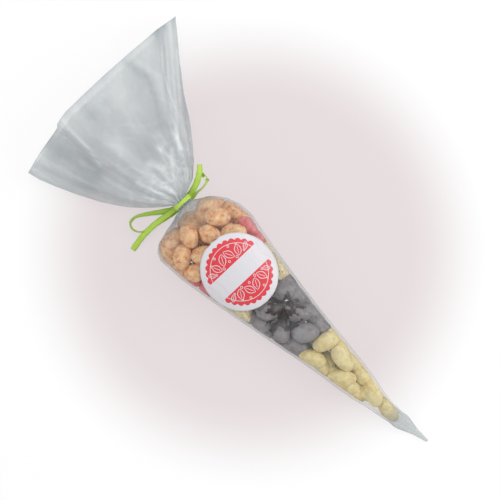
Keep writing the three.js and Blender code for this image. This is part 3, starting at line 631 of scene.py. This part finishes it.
# The nuts lower in the bag: the bag is full, so more nuts of each kind lie under the visible ones and out
# to the film at both sides. Each kind's lower nuts are drawn as one piece, joined where they meet. A
# kind's ends are given in mm from the tip, and its nuts' sizes in mm.
LOW_NUTS = {
    "yellow": {"from": 60, "to": 114, "length": 18.5, "width": 13.0},
    "dark": {"from": 122, "to": 166, "length": 20.0, "width": 15.0},
    "speckled": {"from": 172, "to": 194, "length": 17.0, "width": 14.5},
    "pink": {"from": 202, "to": 216, "length": 17.0, "width": 14.0},
    "brown": {"from": 221, "to": 244, "length": 18.5, "width": 15.0},
}
LOW_PITCH = (0.74, 0.82)  # spacing along and across, as a share of the nut's length and width
LOW_RISE = 0.8  # spacing of the layers, as a share of the width
LOW_FLOOR_GAP = 0.8 * MM
LOW_SAG = 1 * MM  # the outer nuts lie this much under the weld
ROOM_FOR_TOP_NUTS = 9 * MM
ROOM_UNDER_FILM = 1 * MM
LOW_EDGE_GAP = 2.6 * MM


def low_nuts(kind, plan):
    """One kind's lower nuts: ovals in rows and layers under the film, which run into the top nuts."""
    chance = random.Random(len(kind) * 31 + plan["from"])
    half_width = plan["width"] / 2 * MM
    skin = bmesh.new()
    rows = max(1, round((plan["to"] - plan["from"]) / (LOW_PITCH[0] * plan["length"])))
    for row in range(rows + 1):
        x = TIP_FROM_ORIGIN - (plan["from"] + (plan["to"] - plan["from"]) * row / rows) * MM
        low, high = section_sides(x)
        room = (high[1] - low[1]) / 2 - half_width - LOW_EDGE_GAP
        if room < 0:
            continue
        count = int(2 * room / (LOW_PITCH[1] * plan["width"] * MM)) + 1
        for i in range(count):
            y = (low[1] + high[1]) / 2 + (2 * i / max(1, count - 1) - 1) * room * (count > 1)
            top = film_tree.ray_cast(Vector((x, y, FROM_ABOVE)), Vector((0, 0, -1)))[0].z
            floor = film_tree.ray_cast(Vector((x, y, FROM_BELOW)), Vector((0, 0, 1)))[0].z
            z = floor + half_width + LOW_FLOOR_GAP
            if i in (0, count - 1):
                z = max(z, low[2] - LOW_SAG)
            room_over = ROOM_UNDER_FILM
            while z + half_width + room_over < top:
                room_over = ROOM_FOR_TOP_NUTS
                turn = Matrix.Rotation(chance.uniform(-0.5, 0.5), 4, "Z")
                size = Matrix.Diagonal((plan["length"] / 2 * MM, half_width, half_width, 1))
                place = Matrix.Translation((x + chance.uniform(-1, 1) * MM, y, z))
                bmesh.ops.create_uvsphere(
                    skin, u_segments=24, v_segments=14, radius=1, matrix=place @ turn @ size
                )
                z += LOW_RISE * 2 * half_width
    piece_mesh = bpy.data.meshes.new(f"{kind}_coated_nuts_low")
    skin.to_mesh(piece_mesh)
    skin.free()
    piece = bpy.data.objects.new(f"{kind}_coated_nuts_low", piece_mesh)
    scene.collection.objects.link(piece)
    for v in piece_mesh.vertices:
        v.co.z += COATS[kind]["lumps"] * MM * noise.noise(v.co / (COATS[kind]["lump_size"] * MM))
    press_inside(piece_mesh)
    shade_smooth(piece_mesh)
    piece_mesh.materials.append(COAT_MATERIALS[kind])
    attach(piece, "root")
    if f"{kind}_nuts_under" in nodes:
        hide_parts(f"{kind}_nuts_under")
    return piece


for kind, plan in LOW_NUTS.items():
    nut_pieces.append(low_nuts(kind, plan))

# The film cone: two sheets of clear film about 0.04 mm thick, welded into a cone along their sides and
# open at the mouth. It is filled, drawn in over the nuts, and gathered at the neck by the ribbon.
FILM_ROWS = 210
FILM_AROUND = 176
RIM_INSET = 0.35 * MM
NECK_END = 265.5
MOUTH_AT = 370.5
RIM_SLANT = 10  # mm: the mouth is cut on a slant at its -Y corner
SLANT_FROM = (0.35, 0.65)  # where across the mouth the slant starts, and over what share it grows
ROW_PLAN = [(0, 1.5), (0.3, 130), (0.5, 225), (0.66, 257), (0.74, 268), (0.86, 310), (1, MOUTH_AT)]


def film_station(row):
    """A row's distance from the tip in mm: rows lie closer together round the neck."""
    share = row / (FILM_ROWS - 1)
    return float(np.interp(share, [p[0] for p in ROW_PLAN], [p[1] for p in ROW_PLAN]))


def film_grid():
    """Points on the outside of the film's solid: rows from tip to mouth, each a ring round it."""
    rows = np.zeros((FILM_ROWS, FILM_AROUND, 3))
    for r in range(FILM_ROWS):
        station = film_station(r)
        flare = max(0.0, (station - NECK_END) / (MOUTH_AT - NECK_END))
        x = TIP_FROM_ORIGIN - station * MM
        slant = RIM_SLANT * flare**2 * MM
        low = section_sides(min(x + slant, TIP_FROM_ORIGIN - 1 * MM))[0]
        high = section_sides(x)[1]
        middle, half = (low[1] + high[1]) / 2, (high[1] - low[1]) / 2
        for i in range(FILM_AROUND):
            angle = 2 * math.pi * i / FILM_AROUND
            across = math.cos(angle)
            y = middle + half * across * 0.999
            corner = min(1.0, max(0.0, (-SLANT_FROM[0] - across) / SLANT_FROM[1]))
            at_x = x + slant * corner + RIM_INSET * (station > MOUTH_AT - 1)
            if i in (0, FILM_AROUND // 2):
                end = high if i == 0 else low
                rows[r, i] = (at_x, y, end[2])
                continue
            up = math.sin(angle) > 0
            start = Vector((at_x, y, FROM_ABOVE if up else FROM_BELOW))
            hit = film_tree.ray_cast(start, Vector((0, 0, -1 if up else 1)))[0]
            if hit is None:
                hit = film_tree.find_nearest(Vector((at_x, y, rows[r, i - 1][2])))[0]
            rows[r, i] = tuple(hit)
    # The last two rows lie past the solid's slanted rim in places, so they go on from the rows before.
    for r in (-2, -1):
        rows[r, :, 1:] = (2 * rows[r - 1] - rows[r - 2])[:, 1:]
    return rows


def grid_normals(rows):
    """The way out of the bag at each point of the grid."""
    around = np.roll(rows, -1, axis=1) - np.roll(rows, 1, axis=1)
    along = np.gradient(rows, axis=0)
    out = np.cross(around, along)
    size = np.linalg.norm(out, axis=2, keepdims=True)
    out = out / np.maximum(size, 1e-12)
    centre = rows.mean(axis=1, keepdims=True)
    flip = np.sign(np.sum(out * (rows - centre)))
    return out * flip


def smoothed(field, times):
    """The field with each point drawn towards its four neighbours, so many times."""
    for _ in range(times):
        field = (
            field * 2
            + np.roll(field, 1, axis=1)
            + np.roll(field, -1, axis=1)
            + np.vstack([field[:1], field[:-1]])
            + np.vstack([field[1:], field[-1:]])
        ) / 6
    return field


film_points = film_grid()
stations = np.array([film_station(r) for r in range(FILM_ROWS)])[:, None] * np.ones((1, FILM_AROUND))
angles = np.ones((FILM_ROWS, 1)) * (2 * math.pi * np.arange(FILM_AROUND) / FILM_AROUND)[None, :]
flare_share = np.clip((stations - NECK_END) / (MOUTH_AT - NECK_END), 0, 1)

# The drawn film sinks in a little towards the nuts, up to the one that it would touch first.
HUG_DEPTH = 2.2 * MM
HUG_CLEARANCE = 0.35 * MM
HUG_ROWS = (30, 258)  # mm from the tip
HUG_REACH = 30 * MM
HUG_WHERE_EMPTY = 6 * MM
HUG_STEP = 0.6 * MM  # smoothing may deepen the hug no more than this
TABLE_HEIGHT = 0.8 * MM
nut_faces = bmesh.new()
for nut in nut_pieces:
    nut_faces.from_mesh(nut.data)
nut_tree = BVHTree.FromBMesh(nut_faces)
nut_faces.free()
film_out = grid_normals(film_points)
sink = np.zeros((FILM_ROWS, FILM_AROUND))
for r in range(FILM_ROWS):
    if not HUG_ROWS[0] < stations[r, 0] < HUG_ROWS[1]:
        continue
    for i in range(FILM_AROUND):
        start = Vector(film_points[r, i])
        hit = nut_tree.ray_cast(start, -Vector(film_out[r, i]), HUG_REACH)
        depth = (Vector(hit[0]) - start).length if hit[0] else HUG_WHERE_EMPTY
        sink[r, i] = min(HUG_DEPTH, max(0.0, depth - HUG_CLEARANCE))
sink = np.minimum(smoothed(sink, 6), sink + HUG_STEP)
on_table = film_points[:, :, 2] < TABLE_HEIGHT
sink[on_table] = 0

# Wrinkles: gathers that run out of the neck, long soft folds down the flare, and small crumples.
# A gather is a count round the neck, a phase and a height; a soft fold is an angle round the film, a
# width in radians and a height. Heights are in mm.
WRINKLE_SEED = Vector((4.2, 7.7, 1.3))
TIE_AT = 262
GATHER_FADE = (15, 7)  # mm from the tie, towards the mouth and towards the nuts
GATHERS = [(14, 0.4, 0.5), (23, 1.9, 0.35), (37, 0.7, 0.2)]
SOFT_FOLDS = [
    (0.55, 0.09, 1.5),
    (0.85, 0.07, 1.2),
    (1.15, 0.10, -1.3),
    (1.45, 0.08, 1.1),
    (1.75, 0.07, -1.0),
    (2.35, 0.10, 1.2),
    (2.7, 0.09, -0.9),
    (4.2, 0.15, 0.8),
]
TABLE_PRESS = 0.3 * MM
TABLE_CLEARANCE = 0.05 * MM


def crumple(size, seed, sharp):
    """A field of creases: ridges of a noise over the film, about size mm across."""
    field = np.zeros((FILM_ROWS, FILM_AROUND))
    for r in range(FILM_ROWS):
        for i in range(FILM_AROUND):
            spot = Vector(film_points[r, i]) / (size * MM) + seed
            value = noise.noise(spot)
            field[r, i] = (1 - abs(value) * 2) ** sharp if sharp > 1 else value
    return field


neck_near = np.exp(-np.abs(stations - TIE_AT) / np.where(stations > TIE_AT, *GATHER_FADE))
gathers = np.zeros_like(stations)
for count, phase, height in GATHERS:
    drift = 0.35 * np.sin(3 * angles + phase) + 0.25 * np.sin(stations / 17 + phase)
    gathers += height * (1 - np.abs(np.sin((angles * count) / 2 + drift + phase)) * 2)
gathers *= neck_near
soft_folds = np.zeros_like(stations)
for middle_angle, width, height in SOFT_FOLDS:
    bend = middle_angle + 0.12 * np.sin(flare_share * 4 + middle_angle * 9)
    shape = np.exp(-(((angles - bend) / (width * (1 + 0.5 * flare_share))) ** 2))
    soft_folds += height * shape * np.clip(flare_share * 5, 0, 1) * (1 - 0.35 * flare_share)
film_shape = (
    gathers * 0.8
    + soft_folds
    + crumple(26, WRINKLE_SEED, 1) * 2.2 * np.clip(flare_share * 3, 0, 1)
    + crumple(9, WRINKLE_SEED * 2, 1) * 0.5 * (0.35 + neck_near)
    + crumple(13, WRINKLE_SEED * 3, 3) * 0.45 * (0.25 + neck_near)
)
edge_hold = np.abs(np.sin(angles)) ** 0.5
move = film_shape * MM * (0.3 + 0.7 * edge_hold) - sink
move[on_table] = np.clip(move[on_table], -TABLE_PRESS, 0)
film_points = film_points + film_out * move[:, :, None]
film_points[:, :, 2] = np.maximum(film_points[:, :, 2], TABLE_CLEARANCE)

# How milky the film is, and the painted light and shade in its colour, as a share from 0 to 1 at each
# point.
# Slack, creased and gathered film is milky; film drawn tight over the nuts is nearly clear.
# Milk goes by the mm from the tip.
MILK_ALONG = [(0, 0.46), (32, 0.42), (41, 0.15), (60, 0.07), (118, 0.08), (130, 0.13), (165, 0.12)]
MILK_ALONG += [(200, 0.08), (235, 0.1), (249, 0.2), (258, 0.52), (268, 0.62), (290, 0.54), (362, 0.5)]
MILK_ALONG += [(367, 0.68), (371, 0.72)]
LOWER_SHEET_MILK = 0.5
LOWER_SHEET_FROM = 350
# Lines on the upper sheet, by the mm from the tip and across. The first two are the clear places over the
# dark nuts, and the others are painted highlights and painted shade along the folds of the flare: a tone
# over 0 is painted highlight and one under 0 is painted shade.
FOLD_LINES = [
    {"line": [(158, -8), (150, 2), (140, 9)], "width": 7, "tone": 0.0, "milk": -0.11},
    {"line": [(137, -18), (134, -4)], "width": 2.5, "tone": 0.0, "milk": -0.11},
    {"line": [(365, 44), (346, 47), (326, 38), (314, 32)], "width": 3.2, "tone": -0.30, "milk": 0.10},
    {"line": [(362, 50), (345, 54), (326, 45), (312, 38)], "width": 2.6, "tone": 0.22, "milk": 0.03},
    {"line": [(369, -20), (338, -21), (325, -23)], "width": 1.1, "tone": 0.45, "milk": 0.12},
    {"line": [(366, -25), (338, -26), (322, -28)], "width": 4, "tone": -0.22, "milk": 0.08},
    {"line": [(369, 89), (332, 59), (293, 28)], "width": 1.2, "tone": 0.38, "milk": 0.08},
    {"line": [(371, 85), (332, 51), (309, 33)], "width": 1.5, "tone": -0.24, "milk": 0.08},
    {"line": [(366, 81), (335, 57), (318, 44)], "width": 1.0, "tone": 0.25, "milk": 0.04},
    {"line": [(340, 73), (301, 43), (281, 30)], "width": 1.5, "tone": -0.22, "milk": 0.06},
    {"line": [(350, 78), (312, 47), (285, 31)], "width": 1.0, "tone": 0.30, "milk": 0.06},
    {"line": [(356, -40), (345, -34), (322, -36)], "width": 13, "tone": -0.29, "milk": 0.16},
    {"line": [(360, -56), (330, -46), (300, -30)], "width": 2.2, "tone": -0.12, "milk": 0.04},
    {"line": [(354, -4), (338, -12)], "width": 8, "tone": -0.22, "milk": 0.08},
    {"line": [(350, 26), (338, 10), (318, 0)], "width": 8, "tone": 0.1, "milk": 0.02},
    {"line": [(330, -6), (322, -4)], "width": 6, "tone": 0.14, "milk": 0.06},
    {"line": [(369, 76), (360, 70)], "width": 5, "tone": -0.18, "milk": 0.08},
    {"line": [(304, 33), (292, 30)], "width": 2.0, "tone": 0.35, "milk": 0.10},
    {"line": [(304, 17), (292, 19), (281, 17)], "width": 1.6, "tone": 0.45, "milk": 0.15},
    {"line": [(295, -12), (282, -6), (271, -3)], "width": 2.0, "tone": 0.40, "milk": 0.12},
    {"line": [(300, 4), (290, 9), (280, 7)], "width": 2.4, "tone": 0.45, "milk": 0.15},
    {"line": [(296, 24), (286, 15), (275, 8)], "width": 1.6, "tone": 0.40, "milk": 0.12},
    {"line": [(309, 12), (300, 10)], "width": 4.5, "tone": -0.18, "milk": 0.02},
    {"line": [(290, -2), (280, 0)], "width": 4.0, "tone": 0.20, "milk": 0.08},
]


def near_line(line, width):
    """1 on a line over the film and 0 far from it, for each point of the film."""
    spots = np.stack([stations, film_points[:, :, 1] / MM], axis=2)
    nearest = np.full(stations.shape, 1e9)
    for start, end in zip(line[:-1], line[1:]):
        start, end = np.array(start, dtype=float), np.array(end, dtype=float)
        span = end - start
        share = np.clip(((spots - start) @ span) / (span @ span), 0, 1)
        nearest = np.minimum(nearest, np.linalg.norm(spots - start - share[:, :, None] * span, axis=2))
    return np.exp(-((nearest / width) ** 2))


upper = np.sin(angles) > 0
weld = np.exp(-((np.abs(np.sin(angles)) / 0.45) ** 4)) * (stations < TIE_AT)
# Painted glints: the crease ridges make the film milkier and its colour lighter, and the small ones do so
# in the crushed film past the tie.
ridges = np.maximum(crumple(15, WRINKLE_SEED * 5, 7), 0)
small_ridges = np.maximum(crumple(7, WRINKLE_SEED * 7, 5), 0)
crushed = np.exp(-(((stations - 278) / 20) ** 2))
milk = np.interp(stations, [m[0] for m in MILK_ALONG], [m[1] for m in MILK_ALONG])
milk[~upper & (stations > LOWER_SHEET_FROM)] = LOWER_SHEET_MILK
milk = milk + 0.28 * weld + 0.08 * ridges * upper + 0.12 * small_ridges * crushed
milk += 0.05 * crumple(22, WRINKLE_SEED * 9, 1) * (1 + 2 * flare_share)
# The film's colour starts from a grey that varies at random, with painted glints on the crease ridges.
tone = 0.48 + 0.16 * crumple(34, WRINKLE_SEED * 4, 1) + 0.1 * ridges + 0.26 * small_ridges * crushed
# Painted highlights and painted shade along the folds go into the colour, and the lines change the milk
# too.
for fold in FOLD_LINES:
    near = near_line(fold["line"], fold["width"]) * upper
    tone += fold["tone"] * near
    milk += fold["milk"] * near
# The film's colour is painted darker along the mouth's edge.
tone -= 0.25 * np.exp(-((stations - MOUTH_AT) / 1.6) ** 2)

film_mesh = bpy.data.meshes.new("film_bag")
film_faces = []
for r in range(FILM_ROWS - 1):
    for i in range(FILM_AROUND):
        j = (i + 1) % FILM_AROUND
        film_faces.append(
            (r * FILM_AROUND + i, r * FILM_AROUND + j, (r + 1) * FILM_AROUND + j, (r + 1) * FILM_AROUND + i)
        )
film_faces.append(tuple(range(FILM_AROUND)))
film_mesh.from_pydata([tuple(p) for p in film_points.reshape(-1, 3)], [], film_faces)
film = bpy.data.objects.new("film_bag", film_mesh)
scene.collection.objects.link(film)
shell = bmesh.new()
shell.from_mesh(film_mesh)
# On this open shell the faces come out pointing into the bag.
bmesh.ops.recalc_face_normals(shell, faces=shell.faces)
flat_uv = shell.loops.layers.uv.new("on_film")
for face in shell.faces:
    for loop in face.loops:
        r, i = divmod(loop.vert.index, FILM_AROUND)
        turn_at = angles[0, i]
        if turn_at == 0 and any(v.index % FILM_AROUND > FILM_AROUND // 2 for v in face.verts):
            turn_at = 2 * math.pi
        loop[flat_uv].uv = (turn_at, stations[r, 0] / 100)
shell.to_mesh(film_mesh)
shell.free()
shade_smooth(film_mesh)
for name, field in (("film_milk", milk), ("film_painted_shading", tone)):
    shares = film_mesh.attributes.new(name, "FLOAT", "POINT")
    shares.data.foreach_set("value", np.clip(field, 0, 1).ravel())


def clear_film():
    """Clear polypropylene film: almost nothing face on, milky where it is creased or gathered; its colour
    holds painted light and shade.
    """
    material = bpy.data.materials.new("clear_film")
    material.use_nodes = True
    tree = material.node_tree
    shader = tree.nodes["Principled BSDF"]
    shader.inputs["Roughness"].default_value = 0.16
    tone = tree.nodes.new("ShaderNodeAttribute")
    tone.attribute_name = "film_painted_shading"
    # The colour runs from painted shade to painted highlight, following the film's painted light and shade
    # at each point.
    shade = tree.nodes.new("ShaderNodeMix")
    shade.data_type = "RGBA"
    shade.inputs["A"].default_value = (0.26, 0.298, 0.322, 1)
    shade.inputs["B"].default_value = (0.72, 0.77, 0.78, 1)
    tree.links.new(tone.outputs["Fac"], shade.inputs["Factor"])
    tree.links.new(shade.outputs["Result"], shader.inputs["Base Color"])
    milk = tree.nodes.new("ShaderNodeAttribute")
    milk.attribute_name = "film_milk"
    uv = tree.nodes.new("ShaderNodeUVMap")
    uv.uv_map = "on_film"
    place = tree.nodes.new("ShaderNodeTexCoord")
    streak_place = tree.nodes.new("ShaderNodeMapping")
    streak_place.inputs["Scale"].default_value = (5, 1.2, 1)
    tree.links.new(uv.outputs["UV"], streak_place.inputs["Vector"])
    streaks = tree.nodes.new("ShaderNodeTexNoise")
    streaks.inputs["Scale"].default_value = 1
    streaks.inputs["Detail"].default_value = 3
    tree.links.new(streak_place.outputs["Vector"], streaks.inputs["Vector"])
    vary = tree.nodes.new("ShaderNodeMapRange")
    vary.inputs["From Min"].default_value = 0.35
    vary.inputs["From Max"].default_value = 0.7
    vary.inputs["To Min"].default_value = 0.86
    vary.inputs["To Max"].default_value = 1.18
    tree.links.new(streaks.outputs["Fac"], vary.inputs["Value"])
    alpha = tree.nodes.new("ShaderNodeMath")
    alpha.operation = "MULTIPLY"
    alpha.use_clamp = True
    tree.links.new(milk.outputs["Fac"], alpha.inputs[0])
    tree.links.new(vary.outputs["Result"], alpha.inputs[1])
    tree.links.new(alpha.outputs["Value"], shader.inputs["Alpha"])
    cloud = tree.nodes.new("ShaderNodeTexNoise")
    cloud.inputs["Scale"].default_value = 45
    cloud.inputs["Detail"].default_value = 3
    tree.links.new(place.outputs["Object"], cloud.inputs["Vector"])
    ripple = tree.nodes.new("ShaderNodeBump")
    ripple.inputs["Strength"].default_value = 0.5
    ripple.inputs["Distance"].default_value = 0.002
    tree.links.new(cloud.outputs["Fac"], ripple.inputs["Height"])
    tree.links.new(ripple.outputs["Normal"], shader.inputs["Normal"])
    return material


film_mesh.materials.append(clear_film())
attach(film, "root")
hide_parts("film_cone")

# The label: a round white paper sticker on the upper side of the film, printed in one red: a scalloped
# medallion cut in two by a blank white banner, with line ornament in each half.
PRINT_RADIUS = 30  # mm on the flat sticker
LABEL_THICK = 0.15 * MM
LABEL_RINGS = 24
EDGE_TRIM = 0.998  # keeps the rim on the solid's upper side
label_low, label_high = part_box("round_label")
LABEL_CENTRE = ((label_low[0] + label_high[0]) / 2, (label_low[1] + label_high[1]) / 2)
bpy.ops.object.select_all(action="DESELECT")
paper_shape = merged_solid(nodes["round_label"])
paper_tree = BVHTree.FromBMesh(paper_shape)
paper_shape.free()
bpy.ops.mesh.primitive_circle_add(vertices=128, radius=1, fill_type="NOTHING")
label = bpy.context.object
label.name = "printed_label"
bpy.ops.object.mode_set(mode="EDIT")
bpy.ops.mesh.select_all(action="SELECT")
for ring in range(LABEL_RINGS - 1, 0, -1):
    bpy.ops.mesh.extrude_edges_move()
    bpy.ops.transform.resize(value=(ring / (ring + 1), ring / (ring + 1), 1))
bpy.ops.mesh.merge(type="CENTER")
bpy.ops.object.mode_set(mode="OBJECT")
uv_layer = label.data.uv_layers.new(name="print")
for loop in label.data.loops:
    corner = label.data.vertices[loop.vertex_index].co
    uv_layer.data[loop.index].uv = (corner.x * PRINT_RADIUS, corner.y * PRINT_RADIUS)
half_x = (label_high[0] - label_low[0]) / 2 * EDGE_TRIM
half_y = (label_high[1] - label_low[1]) / 2 * EDGE_TRIM
# The label keeps the height of the frame's solid, and the drawn film sinks 2 to 3 mm away from under it.
for vertex in label.data.vertices:
    x = LABEL_CENTRE[0] + vertex.co.x * half_x
    y = LABEL_CENTRE[1] + vertex.co.y * half_y
    hit = paper_tree.ray_cast(Vector((x, y, FROM_ABOVE)), Vector((0, 0, -1)))[0]
    if hit is None:
        hit = paper_tree.find_nearest(Vector((x, y, label_low[2])))[0]
    vertex.co = hit
bpy.ops.object.mode_set(mode="EDIT")
bpy.ops.mesh.select_all(action="SELECT")
bpy.ops.mesh.normals_make_consistent(inside=False)
bpy.ops.object.mode_set(mode="OBJECT")
if label.data.polygons[0].normal.z < 0:
    label.data.flip_normals()
wall = label.modifiers.new("paper_thickness", "SOLIDIFY")
wall.thickness = LABEL_THICK
wall.offset = -1
bpy.ops.object.modifier_apply(modifier=wall.name)
shade_smooth(label.data)


class PrintMaths:
    """Short names for the maths nodes that draw the label's print."""

    def __init__(self, tree):
        self.tree = tree

    def op(self, operation, a, b=None, clamp=False):
        node = self.tree.nodes.new("ShaderNodeMath")
        node.operation = operation
        node.use_clamp = clamp
        for socket, value in zip(node.inputs, (a, b)):
            if value is None:
                continue
            if isinstance(value, (int, float)):
                socket.default_value = value
            else:
                self.tree.links.new(value, socket)
        return node.outputs["Value"]

    def inside(self, value, limit, soft=0.12):
        """1 where value is under limit, 0 where it is over, with a soft edge in mm."""
        return self.op("MULTIPLY", self.op("SUBTRACT", limit + soft / 2, value), 1 / soft, clamp=True)

    def line(self, value, at, width):
        """1 where value is within half of width of at."""
        return self.inside(self.op("ABSOLUTE", self.op("SUBTRACT", value, at)), width / 2)


def leaf_group():
    """One outlined leaf with a mid rib: mask 1 on its lines."""
    group = bpy.data.node_groups.new("printed_leaf", "ShaderNodeTree")
    for name in ("X", "Y", "Turn", "Centre X", "Centre Y", "Length", "Width"):
        group.interface.new_socket(name, in_out="INPUT", socket_type="NodeSocketFloat")
    group.interface.new_socket("Mask", in_out="OUTPUT", socket_type="NodeSocketFloat")
    entry = group.nodes.new("NodeGroupInput")
    result = group.nodes.new("NodeGroupOutput")
    m = PrintMaths(group)
    dx = m.op("SUBTRACT", entry.outputs["X"], entry.outputs["Centre X"])
    dy = m.op("SUBTRACT", entry.outputs["Y"], entry.outputs["Centre Y"])
    c = m.op("COSINE", entry.outputs["Turn"])
    s = m.op("SINE", entry.outputs["Turn"])
    u = m.op("ADD", m.op("MULTIPLY", dx, c), m.op("MULTIPLY", dy, s))
    v = m.op("SUBTRACT", m.op("MULTIPLY", dy, c), m.op("MULTIPLY", dx, s))
    along = m.op("DIVIDE", u, m.op("MULTIPLY", entry.outputs["Length"], 0.5))
    edge = m.op("MULTIPLY", m.op("SUBTRACT", 1, m.op("MULTIPLY", along, along)), entry.outputs["Width"])
    edge = m.op("MULTIPLY", edge, 0.5)
    side = m.op("ABSOLUTE", v)
    outline = m.inside(m.op("ABSOLUTE", m.op("SUBTRACT", side, edge)), 0.28)
    reach = m.inside(m.op("ABSOLUTE", along), 1.0, 0.05)
    outline = m.op("MULTIPLY", outline, reach)
    rib = m.op("MULTIPLY", m.inside(side, 0.2), m.inside(m.op("ABSOLUTE", along), 0.62, 0.05))
    group.links.new(m.op("MAXIMUM", outline, rib), result.inputs["Mask"])
    return group


def printed_paper():
    """White coated paper with the red medallion. Print units are millimetres on the flat sticker."""
    material = bpy.data.materials.new("printed_paper")
    material.use_nodes = True
    tree = material.node_tree
    shader = tree.nodes["Principled BSDF"]
    shader.inputs["Roughness"].default_value = 0.42
    uv = tree.nodes.new("ShaderNodeUVMap")
    uv.uv_map = "print"
    split = tree.nodes.new("ShaderNodeSeparateXYZ")
    tree.links.new(uv.outputs["UV"], split.inputs["Vector"])
    m = PrintMaths(tree)
    x, y = split.outputs["X"], split.outputs["Y"]
    radius = m.op("SQRT", m.op("ADD", m.op("MULTIPLY", x, x), m.op("MULTIPLY", y, y)))
    angle = m.op("ARCTAN2", y, x)
    scallops, scallop_foot, scallop_height = 30, 24.4, 1.6
    wave = m.op("ABSOLUTE", m.op("SINE", m.op("MULTIPLY", angle, scallops / 2)))
    rim = m.op("ADD", scallop_foot, m.op("MULTIPLY", wave, scallop_height))
    medallion = m.inside(m.op("SUBTRACT", radius, rim), 0)
    banner_half = 7.5
    banner = m.inside(m.op("ABSOLUTE", x), banner_half)
    red = m.op("MULTIPLY", medallion, m.op("SUBTRACT", 1, banner))
    white_lines = m.line(radius, 22.2, 0.45)
    leaf = leaf_group()
    for side in (-1, 1):
        for centre_y, turn, length, width in (
            (-17.6, 0.9, 6.2, 3.2),
            (-11.2, 0.5, 8.6, 5.0),
            (-3.4, -0.5, 9.2, 5.2),
            (3.4, 0.5, 9.2, 5.2),
            (11.2, -0.5, 8.6, 5.0),
            (17.6, -0.9, 6.2, 3.2),
        ):
            node = tree.nodes.new("ShaderNodeGroup")
            node.node_tree = leaf
            tree.links.new(x, node.inputs["X"])
            tree.links.new(y, node.inputs["Y"])
            node.inputs["Centre X"].default_value = side * (15.6 - abs(centre_y) * 0.24)
            node.inputs["Centre Y"].default_value = centre_y
            node.inputs["Turn"].default_value = side * turn * -1
            node.inputs["Length"].default_value = length
            node.inputs["Width"].default_value = width
            white_lines = m.op("MAXIMUM", white_lines, node.outputs["Mask"])
        for dot_x, dot_y, dot_radius in (
            (9.4, 7.0, 0.9),
            (9.4, -7.0, 0.9),
            (19.6, 7.2, 0.8),
            (19.6, -7.2, 0.8),
            (10.6, 0, 0.8),
            (9.6, 14.6, 0.7),
            (9.6, -14.6, 0.7),
            (17.0, 13.0, 0.6),
            (17.0, -13.0, 0.6),
        ):
            dx = m.op("SUBTRACT", x, side * dot_x)
            dy = m.op("SUBTRACT", y, dot_y)
            away = m.op("SQRT", m.op("ADD", m.op("MULTIPLY", dx, dx), m.op("MULTIPLY", dy, dy)))
            white_lines = m.op("MAXIMUM", white_lines, m.line(away, dot_radius, 0.42))
    red = m.op("MULTIPLY", red, m.op("SUBTRACT", 1, white_lines))
    colour = tree.nodes.new("ShaderNodeMix")
    colour.data_type = "RGBA"
    colour.inputs["A"].default_value = (0.70, 0.69, 0.73, 1)
    colour.inputs["B"].default_value = (0.72, 0.045, 0.06, 1)
    tree.links.new(red, colour.inputs["Factor"])
    off_x, off_y = m.op("ABSOLUTE", x), m.op("ABSOLUTE", y)
    notch = m.line(m.op("SUBTRACT", off_y, m.op("MULTIPLY", off_x, 0.5)), 22.4, 0.45)
    turned = m.line(m.op("SUBTRACT", off_y, m.op("MULTIPLY", off_x, 0.25)), 17.0, 0.4)
    fold = m.op("MULTIPLY", m.op("MAXIMUM", notch, turned), banner)
    tail_edge = m.op("MULTIPLY", m.line(off_x, banner_half, 0.4), m.inside(off_y, 26.2))
    tail_edge = m.op("MULTIPLY", tail_edge, m.op("SUBTRACT", 1, m.inside(off_y, 23.4)))
    fold = m.op("MULTIPLY", m.op("MAXIMUM", fold, tail_edge), 0.6)
    shade = tree.nodes.new("ShaderNodeMix")
    shade.data_type = "RGBA"
    shade.inputs["B"].default_value = (0.80, 0.45, 0.5, 1)
    tree.links.new(fold, shade.inputs["Factor"])
    tree.links.new(colour.outputs["Result"], shade.inputs["A"])
    tree.links.new(shade.outputs["Result"], shader.inputs["Base Color"])
    return material


label.data.materials.append(printed_paper())
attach(label, "root")
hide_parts("round_label")

bpy.context.view_layer.update()
